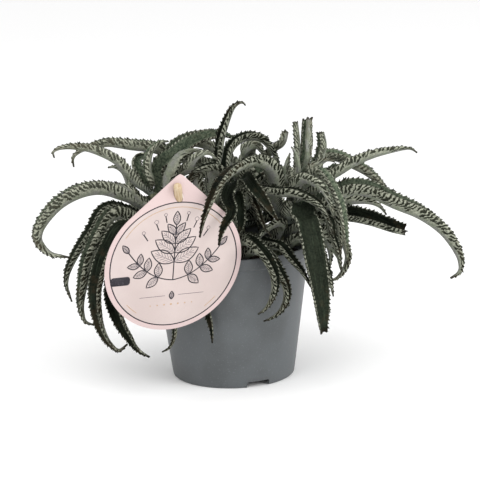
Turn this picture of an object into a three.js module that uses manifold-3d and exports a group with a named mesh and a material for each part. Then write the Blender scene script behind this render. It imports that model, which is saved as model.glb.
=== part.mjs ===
// A potted mother of thousands: four leafy stems of long, arching, toothed gutter leaves, crowded
// over a tapered nursery pot, with a round card plant label held on a wooden stake.
// Millimetres, +Z up. The origin is the centre of the pot's base, on the surface it stands on.
// The front of the plant faces -Y.
import * as THREE from 'three';
import { mergeVertices } from 'three/addons/utils/BufferGeometryUtils.js';
import Module from 'manifold-3d';

const wasm = await Module();
wasm.setup();

// ---------------------------------------------------------------- driving dimensions

const gap = 0.3; // between pieces that touch

const pot = {
  height: 100,
  rimRadius: 60,
  rimBand: 9,
  rimFlare: 0.8, // how much wider the band is at its top
  edge: 0.6, // rounding of the rim's edges
  bodyTop: 57.6, // outer radius just under the rim band
  bodyFoot: 45.4,
  footRound: 2.4,
  footRing: 3, // width of the ring that the pot stands on
  wall: 1.2,
  floorRound: 2, // between the wall and the floor, inside
  footDepth: 5, // height of the channel inside the foot ring
  padRadius: 22, // flat middle of the base, level with the foot ring
  padSlope: 2,
  notches: 3, // in the foot ring
  notchWidth: 17.5,
  notchHeight: 4.5,
  notchReach: 9, // how far across the ring a notch cuts
  firstNotch: -66.5, // degrees from +X
  drains: 6,
  drainRadius: 3,
  drainRing: 33, // radius of the circle that the drains lie on
  firstDrain: 12, // degrees from +X
  sides: 32,
};

const soil = {
  top: 89,
  bump: 1.6, // height of its lumps
  edgeDip: 2.5, // how far it sinks towards the pot's wall
  footBevel: 2.4,
  rings: [0.92, 0.66, 0.34], // of the faces on top, as shares of its radius
};

const stemRadius = 3.6;

// Middle line of each stem, from its foot in the soil to its growing tip.
const stemLines = {
  left: [[-25, -6, 62], [-34, -8, 98], [-57, -10, 141]],
  middle: [[-2, -16, 62], [-6, -22, 108], [-5, -22, 152]],
  right: [[28, -8, 62], [36, -12, 105], [51, -10, 150]],
  back: [[6, 24, 62], [8, 32, 108], [12, 38, 152]],
};

const blade = {
  fold: 57, // degrees that each half of the gutter rises
  thickness: 3.2,
  thinnest: 0.7,
  thickening: 0.34, // what each millimetre of half width adds to the thickness
  drop: 0.42, // how far the groove lies below the middle line, as a share of the gutter's depth
  petiole: 0.55, // share of the full width at the root
  widest: 0.28, // share of the length
  taper: 2.8, // the higher, the later the leaf narrows
  tipWidth: 0.24,
  toothPitch: 11.5,
  coarsePitch: 13.5, // of the teeth on the far side's leaves
  toothOut: 1.14, // half width at a tooth and between two teeth, as shares of the plain width
  notchIn: 0.84,
  plain: 0.95, // the same near the root, which has no teeth
};

// How leaves that would run through each other are bent clear.
const easing = {
  stations: 20, // along each leaf
  passes: 70,
  clear: 0.8, // kept all round a leaf
  rimClear: 2.4, // kept besides to the pot and the soil
  labelClear: 1.6, // kept besides to the label
  labelReach: 12, // leaves that lie deeper than this past the label's face are let be
  stiffRoot: 0.3, // share of its length over which a leaf gives way less
  restore: 0.02, // share of the way back to its own line, in each pass
  lane: 0.66, // where a bead sits on each half of the gutter, as a share of its width
  lift: 0.4,
  beadShare: 0.38, // a bead's radius as a share of the half width
  beadLeast: 0.7,
};

// ---------------------------------------------------------------- the leaves

// stem and at: where the leaf is rooted, at being the share of the stem's length.
// half: greatest width of one half of the gutter. through: the places its middle line passes.
// fold: degrees that each half of the gutter rises, where it isn't blade.fold.
// cut: the share of the leaf that is left where its tip was broken off.
// facing: heading in degrees from +X, for leaves that start upright.
// roll: degrees that the leaf is turned about its own line; positive lifts its right-hand margin.
// twist: degrees of roll that it gains from root to tip.
// front: the leaf hangs in front of the label.
const leafRows = [
  {
    stem: 'left', at: 0.8, half: 11, roll: -14,
    through: [
      [-81, -16, 143], [-102, -24, 147], [-124, -32, 138],
      [-139, -36, 118], [-132, -38, 104], [-116, -39, 100],
    ],
  },
  {
    stem: 'left', at: 0.56, half: 8, roll: -10,
    through: [[-86, -8, 130], [-103, -16, 112], [-115, -22, 95], [-121, -24, 78], [-117, -24, 62]],
  },
  {
    stem: 'left', at: 0.62, half: 10.5, roll: -16,
    through: [
      [-78, -26, 130], [-90, -36, 118], [-102, -42, 97],
      [-109, -44, 70], [-107, -44, 54], [-100, -43, 50],
    ],
  },
  {
    stem: 'left', at: 0.5, half: 10.5, fold: 46,
    through: [
      [-75, -36, 124], [-89, -48, 107], [-96, -54, 79],
      [-95, -56, 54], [-87, -56, 38], [-80, -55, 36], [-76, -55, 40],
    ],
  },
  {
    stem: 'left', at: 0.43, half: 11, fold: 34,
    through: [[-73, -41, 108], [-85, -50, 80], [-81, -52, 55], [-72, -53, 37], [-62, -53, 29]],
  },
  {
    stem: 'left', at: 0.97, half: 7, roll: -8,
    through: [
      [-71, -14, 154], [-81, -18, 167], [-97, -22, 176],
      [-112, -25, 179], [-122, -27, 178], [-126, -27, 175], [-125, -27, 171],
    ],
  },
  {
    stem: 'left', at: 0.86, half: 7,
    through: [[-76, 6, 155], [-87, 8, 158], [-94, 9, 154]],
  },
  {
    stem: 'left', at: 0.55, half: 6,
    through: [[-64, -30, 139], [-72, -36, 150], [-85, -38, 156]],
  },
  {
    stem: 'left', at: 0.96, half: 7,
    through: [[-67, 0, 152], [-69, 2, 160], [-65, 6, 166], [-56, 9, 164]],
  },
  {
    stem: 'left', at: 0.9, half: 10, roll: 12,
    through: [[-50, -6, 158], [-37, -4, 170], [-20, 0, 178], [-4, 6, 179], [7, 10, 174]],
  },
  {
    stem: 'left', at: 0.72, half: 8.5,
    through: [[-44, -18, 153], [-33, -20, 167], [-20, -20, 174], [-8, -20, 171]],
  },
  {
    stem: 'left', at: 0.4, half: 6,
    through: [[-53, -40, 95], [-44, -51, 69], [-40, -53, 43], [-42, -53, 33], [-50, -52, 27], [-58, -51, 29]],
  },
  {
    stem: 'left', at: 0.93, half: 7,
    through: [[-48, 2, 153], [-42, 6, 169], [-29, 10, 177], [-15, 13, 179], [-1, 14, 176]],
  },
  {
    stem: 'left', at: 0.85, half: 7,
    through: [[-43, -16, 151], [-35, -19, 162], [-25, -23, 170], [-14, -25, 172], [-7, -26, 166]],
  },
  {
    stem: 'left', at: 1, half: 6, facing: 20,
    through: [[-58, -12, 146], [-59, -14, 159], [-57, -14, 171], [-49, -12, 178], [-42, -10, 178]],
  },
  {
    stem: 'middle', at: 0.8, half: 9.5,
    through: [[-5, -36, 160], [-17, -44, 165], [-30, -48, 161]],
  },
  {
    stem: 'middle', at: 1, half: 6, facing: 34,
    through: [
      [-8, -23, 162], [-6, -20, 177], [-2, -19, 190],
      [3, -17, 201], [7.5, -16, 205.5], [11.5, -15, 206], [13.5, -14, 203.5],
    ],
  },
  {
    stem: 'middle', at: 0.95, half: 7, roll: 48,
    through: [[1, -6, 170], [12, 0, 178], [25, 4, 176], [34, 4, 164], [39, 2, 148]],
  },
  {
    stem: 'middle', at: 0.92, half: 6.5, fold: 38, front: true,
    through: [[2, -46, 153], [-2, -66, 146], [-5, -84, 133], [-9, -92, 114]],
  },
  {
    stem: 'middle', at: 0.78, half: 6, fold: 38,
    through: [[5, -44, 146], [7, -56, 137], [8, -61, 125], [9, -62, 113]],
  },
  {
    stem: 'middle', at: 0.9, half: 6.5, fold: 40,
    through: [[12, -36, 153], [22, -48, 145], [30, -55, 134], [38, -58, 122]],
  },
  {
    stem: 'middle', at: 0.4, half: 6.5, fold: 38,
    through: [
      [-6, -38, 108], [-8, -53, 112], [-10.5, -62, 105], [-12.5, -63, 91],
      [-13.5, -59.5, 75], [-13.5, -58, 57], [-15, -58, 32],
    ],
  },
  {
    stem: 'middle', at: 0.44, half: 8.5,
    through: [
      [3, -48, 110], [14, -60, 111], [24, -66, 107], [31, -67, 93],
      [31, -67, 77], [23, -67, 63], [14, -67, 59],
    ],
  },
  {
    stem: 'middle', at: 0.38, half: 7.5,
    through: [[15, -52, 101], [28, -60, 97], [39, -58, 81], [40, -58, 67], [30, -61, 57], [18, -63, 54]],
  },
  {
    stem: 'middle', at: 0.45, half: 7.5,
    through: [[17, -40, 110], [30, -50, 108], [42, -58, 100], [52, -60, 89], [58, -60, 76]],
  },
  {
    stem: 'middle', at: 0.8, half: 8, fold: 50, roll: 12,
    through: [[24, -34, 147], [40, -42, 144], [56, -48, 140], [68, -50, 129], [75, -50, 112]],
  },
  {
    stem: 'middle', at: 0.52, half: 5,
    through: [[14, -38, 146], [18, -46, 138], [23, -50, 125], [26, -50, 114]],
  },
  {
    stem: 'right', at: 0.55, half: 9, fold: 40, front: true,
    through: [
      [32, -30, 153], [21, -42, 168], [5, -60, 167],
      [-9, -83, 158], [-17, -95, 141], [-21, -101, 126],
    ],
  },
  {
    stem: 'right', at: 1, half: 4.4, cut: 0.7, facing: 0,
    through: [[51, -12, 162], [50, -12, 177], [49, -12, 192]],
  },
  {
    stem: 'right', at: 1, half: 4, cut: 0.7, facing: 120,
    through: [[54, -6, 164], [55, -6, 177], [56, -6, 192]],
  },
  {
    stem: 'right', at: 1, half: 4, cut: 0.7, facing: 240,
    through: [[56, -14, 164], [58, -15, 179], [59, -16, 195]],
  },
  {
    stem: 'right', at: 0.97, half: 7, facing: 40,
    through: [[61, 2, 161], [63, 4, 170], [61, 5, 180]],
  },
  {
    stem: 'right', at: 0.98, half: 3.5,
    through: [[50, -20, 162], [48, -22, 171], [44, -24, 176]],
  },
  {
    stem: 'right', at: 0.9, half: 7, cut: 0.75,
    through: [[64, 2, 161], [66, 4, 171], [67, 4, 185]],
  },
  {
    stem: 'right', at: 0.86, half: 8.5, roll: 22,
    through: [[67, 8, 160], [79, 12, 160], [91, 14, 154], [105, 15, 145], [116, 15, 133], [121, 13, 121]],
  },
  {
    stem: 'right', at: 0.82, half: 7.5, roll: 8,
    through: [
      [68, -10, 147], [79, -12, 153], [90, -13, 160], [106, -13, 166],
      [123, -13, 169], [133, -13, 169], [138, -13, 165],
    ],
  },
  {
    stem: 'right', at: 0.92, half: 4.5,
    through: [[58, -18, 157], [65, -20, 162], [72, -22, 164], [78, -24, 162]],
  },
  {
    stem: 'right', at: 0.68, half: 13, fold: 50, roll: -14, twist: 34,
    through: [
      [68, -12, 135], [82, -16, 142], [101, -18, 140], [121, -20, 131], [140, -20, 122],
      [156, -20, 109], [166, -20, 93], [168, -20, 80], [161, -20, 73],
    ],
  },
  {
    stem: 'right', at: 0.52, half: 12, fold: 45, roll: -18, cut: 0.78,
    through: [[70, 4, 118], [87, 6, 116], [104, 6, 112], [120, 6, 106], [130, 6, 103]],
  },
  {
    stem: 'right', at: 0.6, half: 8,
    through: [[82, 18, 123], [102, 24, 123], [114, 25, 118], [120, 25, 107]],
  },
  {
    stem: 'right', at: 0.86, half: 7,
    through: [
      [58, -28, 151], [64, -34, 158], [72, -42, 150],
      [79, -48, 135], [82, -50, 114], [84, -50, 94],
    ],
  },
  {
    stem: 'right', at: 0.6, half: 11, fold: 32, cut: 0.92,
    through: [
      [51, -36, 139], [53, -50, 132], [56, -60, 120],
      [59, -65, 102], [63, -66, 75], [65, -64, 49.5],
    ],
  },
  {
    stem: 'right', at: 0.42, half: 6,
    through: [[73, -14, 113], [85, -16, 96], [84, -18, 83], [76, -20, 74], [68, -22, 75]],
  },
  {
    stem: 'right', at: 0.4, half: 7,
    through: [[59, -34, 107], [67, -42, 93], [72, -43, 77], [74, -42, 64]],
  },
  {
    stem: 'right', at: 0.78, half: 7.5,
    through: [[48, -36, 147], [55, -42, 154], [65, -50, 152], [71, -55, 142], [74, -56, 128]],
  },
  {
    stem: 'right', at: 0.7, half: 6.5, fold: 45,
    through: [[67, -30, 132], [74, -32, 126], [77, -33, 114], [79, -33, 99], [80, -33, 89]],
  },
  {
    stem: 'right', at: 0.42, half: 7,
    through: [[65, -2, 110], [73, -4, 98], [79, -4, 88], [81, -4, 78]],
  },
  {
    stem: 'right', at: 0.38, half: 6,
    through: [[39, -28, 120], [30, -38, 120], [23, -46, 114], [20, -54, 107]],
  },
  {
    stem: 'back', at: 0.85, half: 9.5, roll: -6,
    through: [
      [-29, 22, 159], [-48, 14, 167], [-68, 10, 171],
      [-87, 8, 175], [-103, 6, 172], [-112, 4, 168], [-115, 4, 162], [-114, 4, 158],
    ],
  },
  {
    stem: 'back', at: 0.9, half: 6, cut: 0.75,
    through: [[25, 24, 156], [33, 16, 166], [40, 12, 171], [43, 12, 181]],
  },
  {
    stem: 'back', at: 0.8, half: 8,
    through: [[-1, 28, 152], [-11, 22, 165], [-23, 18, 171], [-36, 16, 169], [-45, 14, 161]],
  },
  {
    stem: 'back', at: 0.94, half: 9,
    through: [[12, 22, 160], [17, 18, 167], [23, 15, 168], [28, 12, 160]],
  },
  {
    stem: 'back', at: 0.62, half: 7,
    through: [[11, 6, 137], [16, -3, 132], [20, -9, 122], [21, -13, 110]],
  },
  {
    stem: 'middle', at: 0.66, half: 7.5,
    through: [[-10, -32, 155], [-17, -35, 159], [-25, -38, 157], [-31, -40, 148]],
  },
  {
    stem: 'middle', at: 0.6, half: 6.5,
    through: [[22, -22, 149], [31, -22, 150], [38, -23, 144], [42, -25, 134]],
  },
  {
    stem: 'right', at: 0.76, half: 6,
    through: [[66, -3, 151], [74, -4, 156], [81, -5, 155], [86, -6, 149]],
  },
  {
    stem: 'right', at: 0.93, half: 4.5,
    through: [[44, -14, 157], [44, -14, 165], [47, -14, 171]],
  },
  {
    stem: 'right', at: 0.5, half: 6.5,
    through: [[69, -34, 126], [75, -36, 111], [78, -37, 97], [80, -38, 84]],
  },
  {
    stem: 'back', at: 0.66, half: 9, pitch: blade.coarsePitch,
    through: [[2, 24, 141], [-10, 18, 148], [-22, 12, 149], [-33, 8, 142], [-41, 5, 131]],
  },
  {
    stem: 'back', at: 0.56, half: 8, pitch: blade.coarsePitch,
    through: [[20, 18, 124], [26, 9, 128], [30, 2, 122], [32, -3, 110]],
  },
  {
    stem: 'back', at: 0.76, half: 8, pitch: blade.coarsePitch,
    through: [[25, 22, 147], [35, 15, 150], [42, 9, 143], [45, 5, 131]],
  },
  {
    stem: 'back', at: 0.7, half: 10, pitch: blade.coarsePitch,
    through: [[13, 26, 141], [18, 18, 151], [24, 12, 146], [30, 9, 129], [32, 7, 108]],
  },
];

// The far side: leaves fanned out by rule. Each row gives the stem, how many leaves, the headings
// that they fan between, the shares of the stem's length that they climb between, how steeply they
// rise at the least, in degrees, and their longest length.
const fans = [
  { stem: 'back', count: 6, from: 15, to: 165, low: 0.4, high: 0.6, rise: 16, length: 115 },
  { stem: 'back', count: 5, from: 35, to: 150, low: 0.7, high: 0.92, rise: 16, length: 135 },
  { stem: 'left', count: 4, from: 95, to: 175, low: 0.42, high: 0.8, rise: 12, length: 110 },
  { stem: 'right', count: 4, from: 35, to: 95, low: 0.42, high: 0.8, rise: 12, length: 105 },
  { stem: 'middle', count: 3, from: 15, to: 150, low: 0.4, high: 0.6, rise: 22, length: 75 },
];

const fanRule = {
  headingSpread: 14, // degrees
  stagger: 0.618, // climbs the stem in steps of the golden ratio
  firstStep: 0.3,
  shortest: 0.72, // share of the longest length
  riseSpread: 12, // degrees
  droop: 120, // degrees that a leaf bends down from root to tip, at the least
  droopSpread: 40,
  lateness: 1.25, // above 1, the bend comes late
  steps: 5,
  half: 4.5,
  widening: 0.04, // what each millimetre of length adds to the half width
};

// ---------------------------------------------------------------- small tools

const { degToRad, smoothstep } = THREE.MathUtils;
const v3 = (x, y, z) => new THREE.Vector3(x, y, z);

// Repeatable draw between 0 and 1, from a multiplier and a prime modulus.
const multiplier = 16807;
const modulus = 2147483647;
let drawState = 20;
function draw() {
  drawState = (drawState * multiplier) % modulus;
  return drawState / modulus;
}

function toSolid(geometry) {
  const bare = geometry.clone();
  bare.deleteAttribute('normal');
  bare.deleteAttribute('uv');
  const merged = mergeVertices(bare, 1e-3);
  return new wasm.Manifold(new wasm.Mesh({
    numProp: 3,
    vertProperties: merged.attributes.position.array,
    triVerts: new Uint32Array(merged.index.array),
  }));
}

function toMesh(solid, name, material) {
  const { vertProperties, triVerts } = solid.getMesh();
  const geometry = new THREE.BufferGeometry();
  geometry.setAttribute('position', new THREE.BufferAttribute(new Float32Array(vertProperties), 3));
  geometry.setIndex(new THREE.BufferAttribute(new Uint32Array(triVerts), 1));
  geometry.computeVertexNormals();
  const mesh = new THREE.Mesh(geometry, material);
  mesh.name = name;
  return mesh;
}

function biggestPiece(solid) {
  return solid.decompose().reduce((a, b) => (a.volume() > b.volume() ? a : b));
}

// A straight round bar between two points.
function bar(from, to, radius, sides) {
  const run = to.clone().sub(from);
  return new THREE.CylinderGeometry(radius, radius, run.length(), sides)
    .applyQuaternion(new THREE.Quaternion().setFromUnitVectors(v3(0, 1, 0), run.clone().normalize()))
    .translate(...from.clone().add(to).multiplyScalar(0.5));
}

// ---------------------------------------------------------------- pot and soil

const potOuterAt = (z) => THREE.MathUtils.lerp(pot.bodyFoot, pot.bodyTop, z / (pot.height - pot.rimBand));

function potSolid() {
  const { height, wall, footDepth, padRadius, padSlope, bodyFoot, footRing, footRound } = pot;
  const { rimBand, rimRadius, rimFlare, edge, floorRound } = pot;
  const underRim = height - rimBand;
  const floor = footDepth + wall;
  const profile = [
    [0, 0],
    [padRadius, 0],
    [padRadius + padSlope, footDepth],
    [bodyFoot - footRing - 0.4, footDepth],
    [bodyFoot - footRing, 0],
    [bodyFoot - footRound * 0.5, 0],
    [bodyFoot - footRound * 0.1, footRound * 0.6],
    [potOuterAt(footRound * 2), footRound * 2],
    [potOuterAt(underRim), underRim],
    [rimRadius - rimFlare, underRim + 2 * edge],
    [rimRadius, height - edge],
    [rimRadius - edge, height],
    [rimRadius - wall - edge, height],
    [rimRadius - wall - rimFlare - edge, underRim + edge],
    [potOuterAt(underRim) - wall, underRim - 2 * edge],
    [potOuterAt(floor + floorRound) - wall, floor + floorRound],
    [potOuterAt(floor) - wall - floorRound * 0.9, floor],
    [padRadius + padSlope / 2, floor],
    [padRadius - padSlope / 2, wall],
    [0, wall],
  ].map(([r, z]) => new THREE.Vector2(r, z));
  const shell = new THREE.LatheGeometry(profile, pot.sides).rotateX(Math.PI / 2);
  let solid = toSolid(shell);
  for (let k = 0; k < pot.notches; k++) {
    const cutter = new THREE.BoxGeometry(pot.notchReach, pot.notchWidth, 2 * pot.notchHeight)
      .translate(bodyFoot - footRing / 2, 0, 0)
      .rotateZ(degToRad(pot.firstNotch + (360 / pot.notches) * k));
    solid = solid.subtract(toSolid(cutter));
  }
  for (let k = 0; k < pot.drains; k++) {
    const turn = degToRad(pot.firstDrain + (360 / pot.drains) * k);
    const below = v3(pot.drainRing * Math.cos(turn), pot.drainRing * Math.sin(turn), footDepth - 1);
    const above = below.clone().setZ(floor + 1);
    solid = solid.subtract(toSolid(bar(below, above, pot.drainRadius, 10)));
  }
  return solid;
}

// Height of the soil's surface: two sets of waves make its lumps, which die out towards the wall.
function soilHeight(x, y) {
  const far = Math.hypot(x, y) / (pot.rimRadius - 4);
  const lumps = Math.sin(x * 0.23 + 1.1) * Math.cos(y * 0.19) + 0.6 * Math.sin(x * 0.41 - y * 0.37);
  return soil.top + soil.bump * lumps * (1 - far * far) - soil.edgeDip * far * far;
}

function soilSolid(stemHoles) {
  const { wall, padRadius, padSlope, footDepth } = pot;
  const floor = footDepth + wall + gap;
  const innerAt = (z) => potOuterAt(z) - wall - gap;
  const edge = innerAt(soil.top - soil.edgeDip);
  const profile = [
    [0, wall + gap],
    [padRadius - padSlope / 2 - gap, wall + gap],
    [padRadius + padSlope / 2 - gap, floor],
    [innerAt(floor) - soil.footBevel, floor],
    [innerAt(floor + soil.footBevel), floor + soil.footBevel],
    [edge, soil.top - soil.edgeDip],
    ...soil.rings.map((share) => [edge * share, soil.top]),
    [0, soil.top],
  ].map(([r, z]) => new THREE.Vector2(r, z));
  const geometry = new THREE.LatheGeometry(profile, pot.sides).rotateX(Math.PI / 2);
  const at = geometry.attributes.position;
  for (let i = 0; i < at.count; i++) {
    if (at.getZ(i) > soil.top - 0.01) at.setZ(i, soilHeight(at.getX(i), at.getY(i)));
  }
  return stemHoles.reduce((solid, hole) => solid.subtract(hole), toSolid(geometry));
}

// ---------------------------------------------------------------- label and stake

const label = {
  radius: 51,
  apex: 69, // from the disc's centre to the point of the teardrop
  thickness: 0.8,
  pointWidth: 3.2, // of the blunted point
  hole: 52, // from the disc's centre to the stake's hole
  centre: v3(-40, -82.5, 104.5),
  turn: 22, // degrees that its right edge swings back
  lean: 12, // degrees that its top leans forward
  tilt: 1.5, // degrees that its point leans to the right
};
const labelTurn = new THREE.Matrix4().makeRotationZ(degToRad(label.turn))
  .multiply(new THREE.Matrix4().makeRotationX(degToRad(90 + label.lean)))
  .multiply(new THREE.Matrix4().makeRotationZ(-degToRad(label.tilt)));
const [labelRight, labelUp, labelFront] = [v3(0, 0, 0), v3(0, 0, 0), v3(0, 0, 0)];
labelTurn.extractBasis(labelRight, labelUp, labelFront);

const stake = {
  radius: 2.9,
  foot: v3(-33, -20, 78),
  beyond: 11, // from the label's hole to where the end begins to narrow
  domeHeight: 1.2,
  domeRadius: 1.75,
  sides: 12,
};
const holeCentre = label.centre.clone().addScaledVector(labelUp, label.hole);
const stakeWay = holeCentre.clone().sub(stake.foot).normalize();
const stakeTip = holeCentre.clone().addScaledVector(stakeWay, stake.beyond);

function stakeSolid() {
  const shaft = toSolid(bar(stake.foot, stakeTip, stake.radius, stake.sides));
  const dome = new THREE.CylinderGeometry(stake.domeRadius, stake.radius, stake.domeHeight, stake.sides)
    .translate(0, stake.domeHeight / 2, 0)
    .applyQuaternion(new THREE.Quaternion().setFromUnitVectors(v3(0, 1, 0), stakeWay))
    .translate(...stakeTip);
  return shaft.add(toSolid(dome));
}

// The room that the stake needs, in the soil and in the label.
function stakeBore() {
  const before = stake.foot.clone().addScaledVector(stakeWay, -gap);
  const after = stakeTip.clone().addScaledVector(stakeWay, 10);
  return toSolid(bar(before, after, stake.radius + gap, stake.sides));
}

function labelSolid() {
  const { radius, apex, pointWidth } = label;
  // The straight edges meet the disc this far, as an angle, to each side of the point.
  const spread = Math.acos(radius / apex);
  const outline = new THREE.Shape();
  outline.absarc(0, 0, radius, Math.PI / 2 + spread, Math.PI / 2 - spread + 2 * Math.PI, false);
  outline.lineTo(pointWidth / 2, apex - pointWidth / 2);
  outline.lineTo(0, apex - pointWidth / 8);
  outline.lineTo(-pointWidth / 2, apex - pointWidth / 2);
  outline.closePath();
  const sheet = { depth: label.thickness, bevelEnabled: false, curveSegments: 36 };
  const card = new THREE.ExtrudeGeometry(outline, sheet)
    .applyMatrix4(labelTurn)
    .translate(...label.centre);
  return toSolid(card).subtract(stakeBore());
}

// ---------------------------------------------------------------- where the leaves run

const stems = Object.entries(stemLines).map(([name, points]) => ({
  name,
  curve: new THREE.CatmullRomCurve3(points.map((p) => v3(...p)), false, 'catmullrom', 0.5),
}));
const stemNamed = Object.fromEntries(stems.map((s) => [s.name, s]));

// The fans' leaves, as rows like those above: each rises, then arches over and hangs.
function fanRows() {
  const rows = [];
  for (const fan of fans) {
    for (let k = 0; k < fan.count; k++) {
      const share = (k + 0.5) / fan.count;
      const sway = (draw() - 0.5) * fanRule.headingSpread;
      const heading = degToRad(fan.from + (fan.to - fan.from) * share + sway);
      const at = fan.low + (fan.high - fan.low) * ((k * fanRule.stagger + fanRule.firstStep) % 1);
      const length = fan.length * (fanRule.shortest + (1 - fanRule.shortest) * draw());
      const rise = degToRad(fan.rise + fanRule.riseSpread * draw());
      const droop = degToRad(fanRule.droop + fanRule.droopSpread * draw());
      const run = length / fanRule.steps;
      const place = stemNamed[fan.stem].curve.getPointAt(at);
      const through = [];
      for (let i = 0; i < fanRule.steps; i++) {
        const slope = rise - droop * ((i + 0.5) / fanRule.steps) ** fanRule.lateness;
        place.x += run * Math.cos(slope) * Math.cos(heading);
        place.y += run * Math.cos(slope) * Math.sin(heading);
        place.z += run * Math.sin(slope);
        through.push(place.toArray());
      }
      const half = fanRule.half + fanRule.widening * length;
      rows.push({ stem: fan.stem, at, half, pitch: blade.coarsePitch, through });
    }
  }
  return rows;
}

// Share of the full width at share s of an unbroken leaf's length.
function widthAt(s) {
  if (s < blade.widest) return blade.petiole + (1 - blade.petiole) * smoothstep(s, 0, blade.widest);
  const t = (s - blade.widest) / (1 - blade.widest);
  return Math.max(blade.tipWidth, 1 - t ** blade.taper);
}

function leafFrom(row) {
  const root = stemNamed[row.stem].curve.getPointAt(row.at);
  const line = [root, ...row.through.map((p) => v3(...p))];
  const curve = new THREE.CatmullRomCurve3(line, false, 'catmullrom', 0.5);
  const points = curve.getSpacedPoints(easing.stations);
  const towards = row.through[0];
  const heading = row.facing === undefined
    ? Math.atan2(towards[1] - root.y, towards[0] - root.x)
    : degToRad(row.facing);
  const roll = degToRad(row.roll ?? 0);
  return {
    ...row,
    points,
    rest: points.map((p) => p.clone()),
    step: curve.getLength() / easing.stations,
    length: curve.getLength(),
    cut: row.cut ?? 1,
    fold: degToRad(row.fold ?? blade.fold),
    twist: degToRad(row.twist ?? 0),
    side: v3(Math.sin(heading) * Math.cos(roll), -Math.cos(heading) * Math.cos(roll), Math.sin(roll)),
  };
}

// Directions along, across and out of the gutter at each of the given points. The gutter turns by
// twist from the first point to the last.
function framesAlong(points, side, twist = 0) {
  let across = side.clone();
  return points.map((p, i) => {
    const along = points[Math.min(i + 1, points.length - 1)].clone()
      .sub(points[Math.max(i - 1, 0)]).normalize();
    across = across.clone().addScaledVector(along, -across.dot(along)).normalize();
    if (i > 0) across.applyAxisAngle(along, -twist / (points.length - 1));
    return { along, across, out: across.clone().cross(along) };
  });
}

// Each station of a leaf is felt as three beads: one in the groove and one on each half.
function beadsOf(leaf) {
  const foldCos = Math.cos(leaf.fold);
  const foldSin = Math.sin(leaf.fold);
  const frames = framesAlong(leaf.points, leaf.side, leaf.twist);
  const beads = [];
  leaf.points.forEach((p, station) => {
    const half = leaf.half * widthAt((station / easing.stations) * leaf.cut);
    for (const lane of [-easing.lane, 0, easing.lane]) {
      beads.push({
        station,
        radius: easing.beadShare * half + easing.beadLeast,
        at: p.clone()
          .addScaledVector(frames[station].across, lane * half * foldCos)
          .addScaledVector(frames[station].out, (Math.abs(lane) - easing.lift) * half * foldSin),
      });
    }
  });
  return beads;
}

const stakeBeads = Array.from({ length: 40 }, (_, i) => ({
  radius: stake.radius + gap,
  at: stake.foot.clone().lerp(stakeTip, i / 39),
}));

const stemBeads = stems.map((s) => ({
  name: s.name,
  beads: s.curve.getSpacedPoints(24).map((at) => ({ at, radius: stemRadius + gap })),
}));

// How far, and which way, a bead has to move to be clear of the pot, the soil, the label and the floor.
function obstaclePush(bead, front) {
  const push = v3(0, 0, 0);
  const { at } = bead;
  const keep = bead.radius + easing.clear;
  const far = Math.hypot(at.x, at.y);
  const insideRim = far < pot.rimRadius - 6;
  const ceiling = insideRim ? soil.top + soil.bump : pot.height;
  const besideRim = at.z > pot.height - pot.rimBand - 2;
  const wallRadius = besideRim ? pot.rimRadius : potOuterAt(Math.max(at.z, 0));
  const upward = ceiling + keep + easing.rimClear - at.z;
  const outward = wallRadius + keep + easing.rimClear - far;
  if (upward > 0 && outward > 0) {
    if (upward < outward) push.z += upward;
    else push.add(v3(at.x / far, at.y / far, 0).multiplyScalar(outward));
  }
  if (at.z < keep) push.z += keep - at.z;
  const from = at.clone().sub(label.centre);
  const across = from.dot(labelRight);
  const high = from.dot(labelUp);
  const depth = from.dot(labelFront);
  const inDisc = Math.hypot(across, high) < label.radius + keep;
  const pointHalf = (label.apex - high) * 1.1 + keep;
  const inPoint = high > 30 && high < label.apex + keep && Math.abs(across) < pointHalf;
  if (inDisc || inPoint) {
    const inFront = keep + label.thickness + easing.labelClear;
    const behind = -keep - easing.labelClear;
    if (front && depth < inFront && depth > -easing.labelReach) {
      push.addScaledVector(labelFront, inFront - depth);
    }
    if (!front && depth > behind && depth < easing.labelReach) {
      push.addScaledVector(labelFront, behind - depth);
    }
  }
  return push;
}

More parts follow.
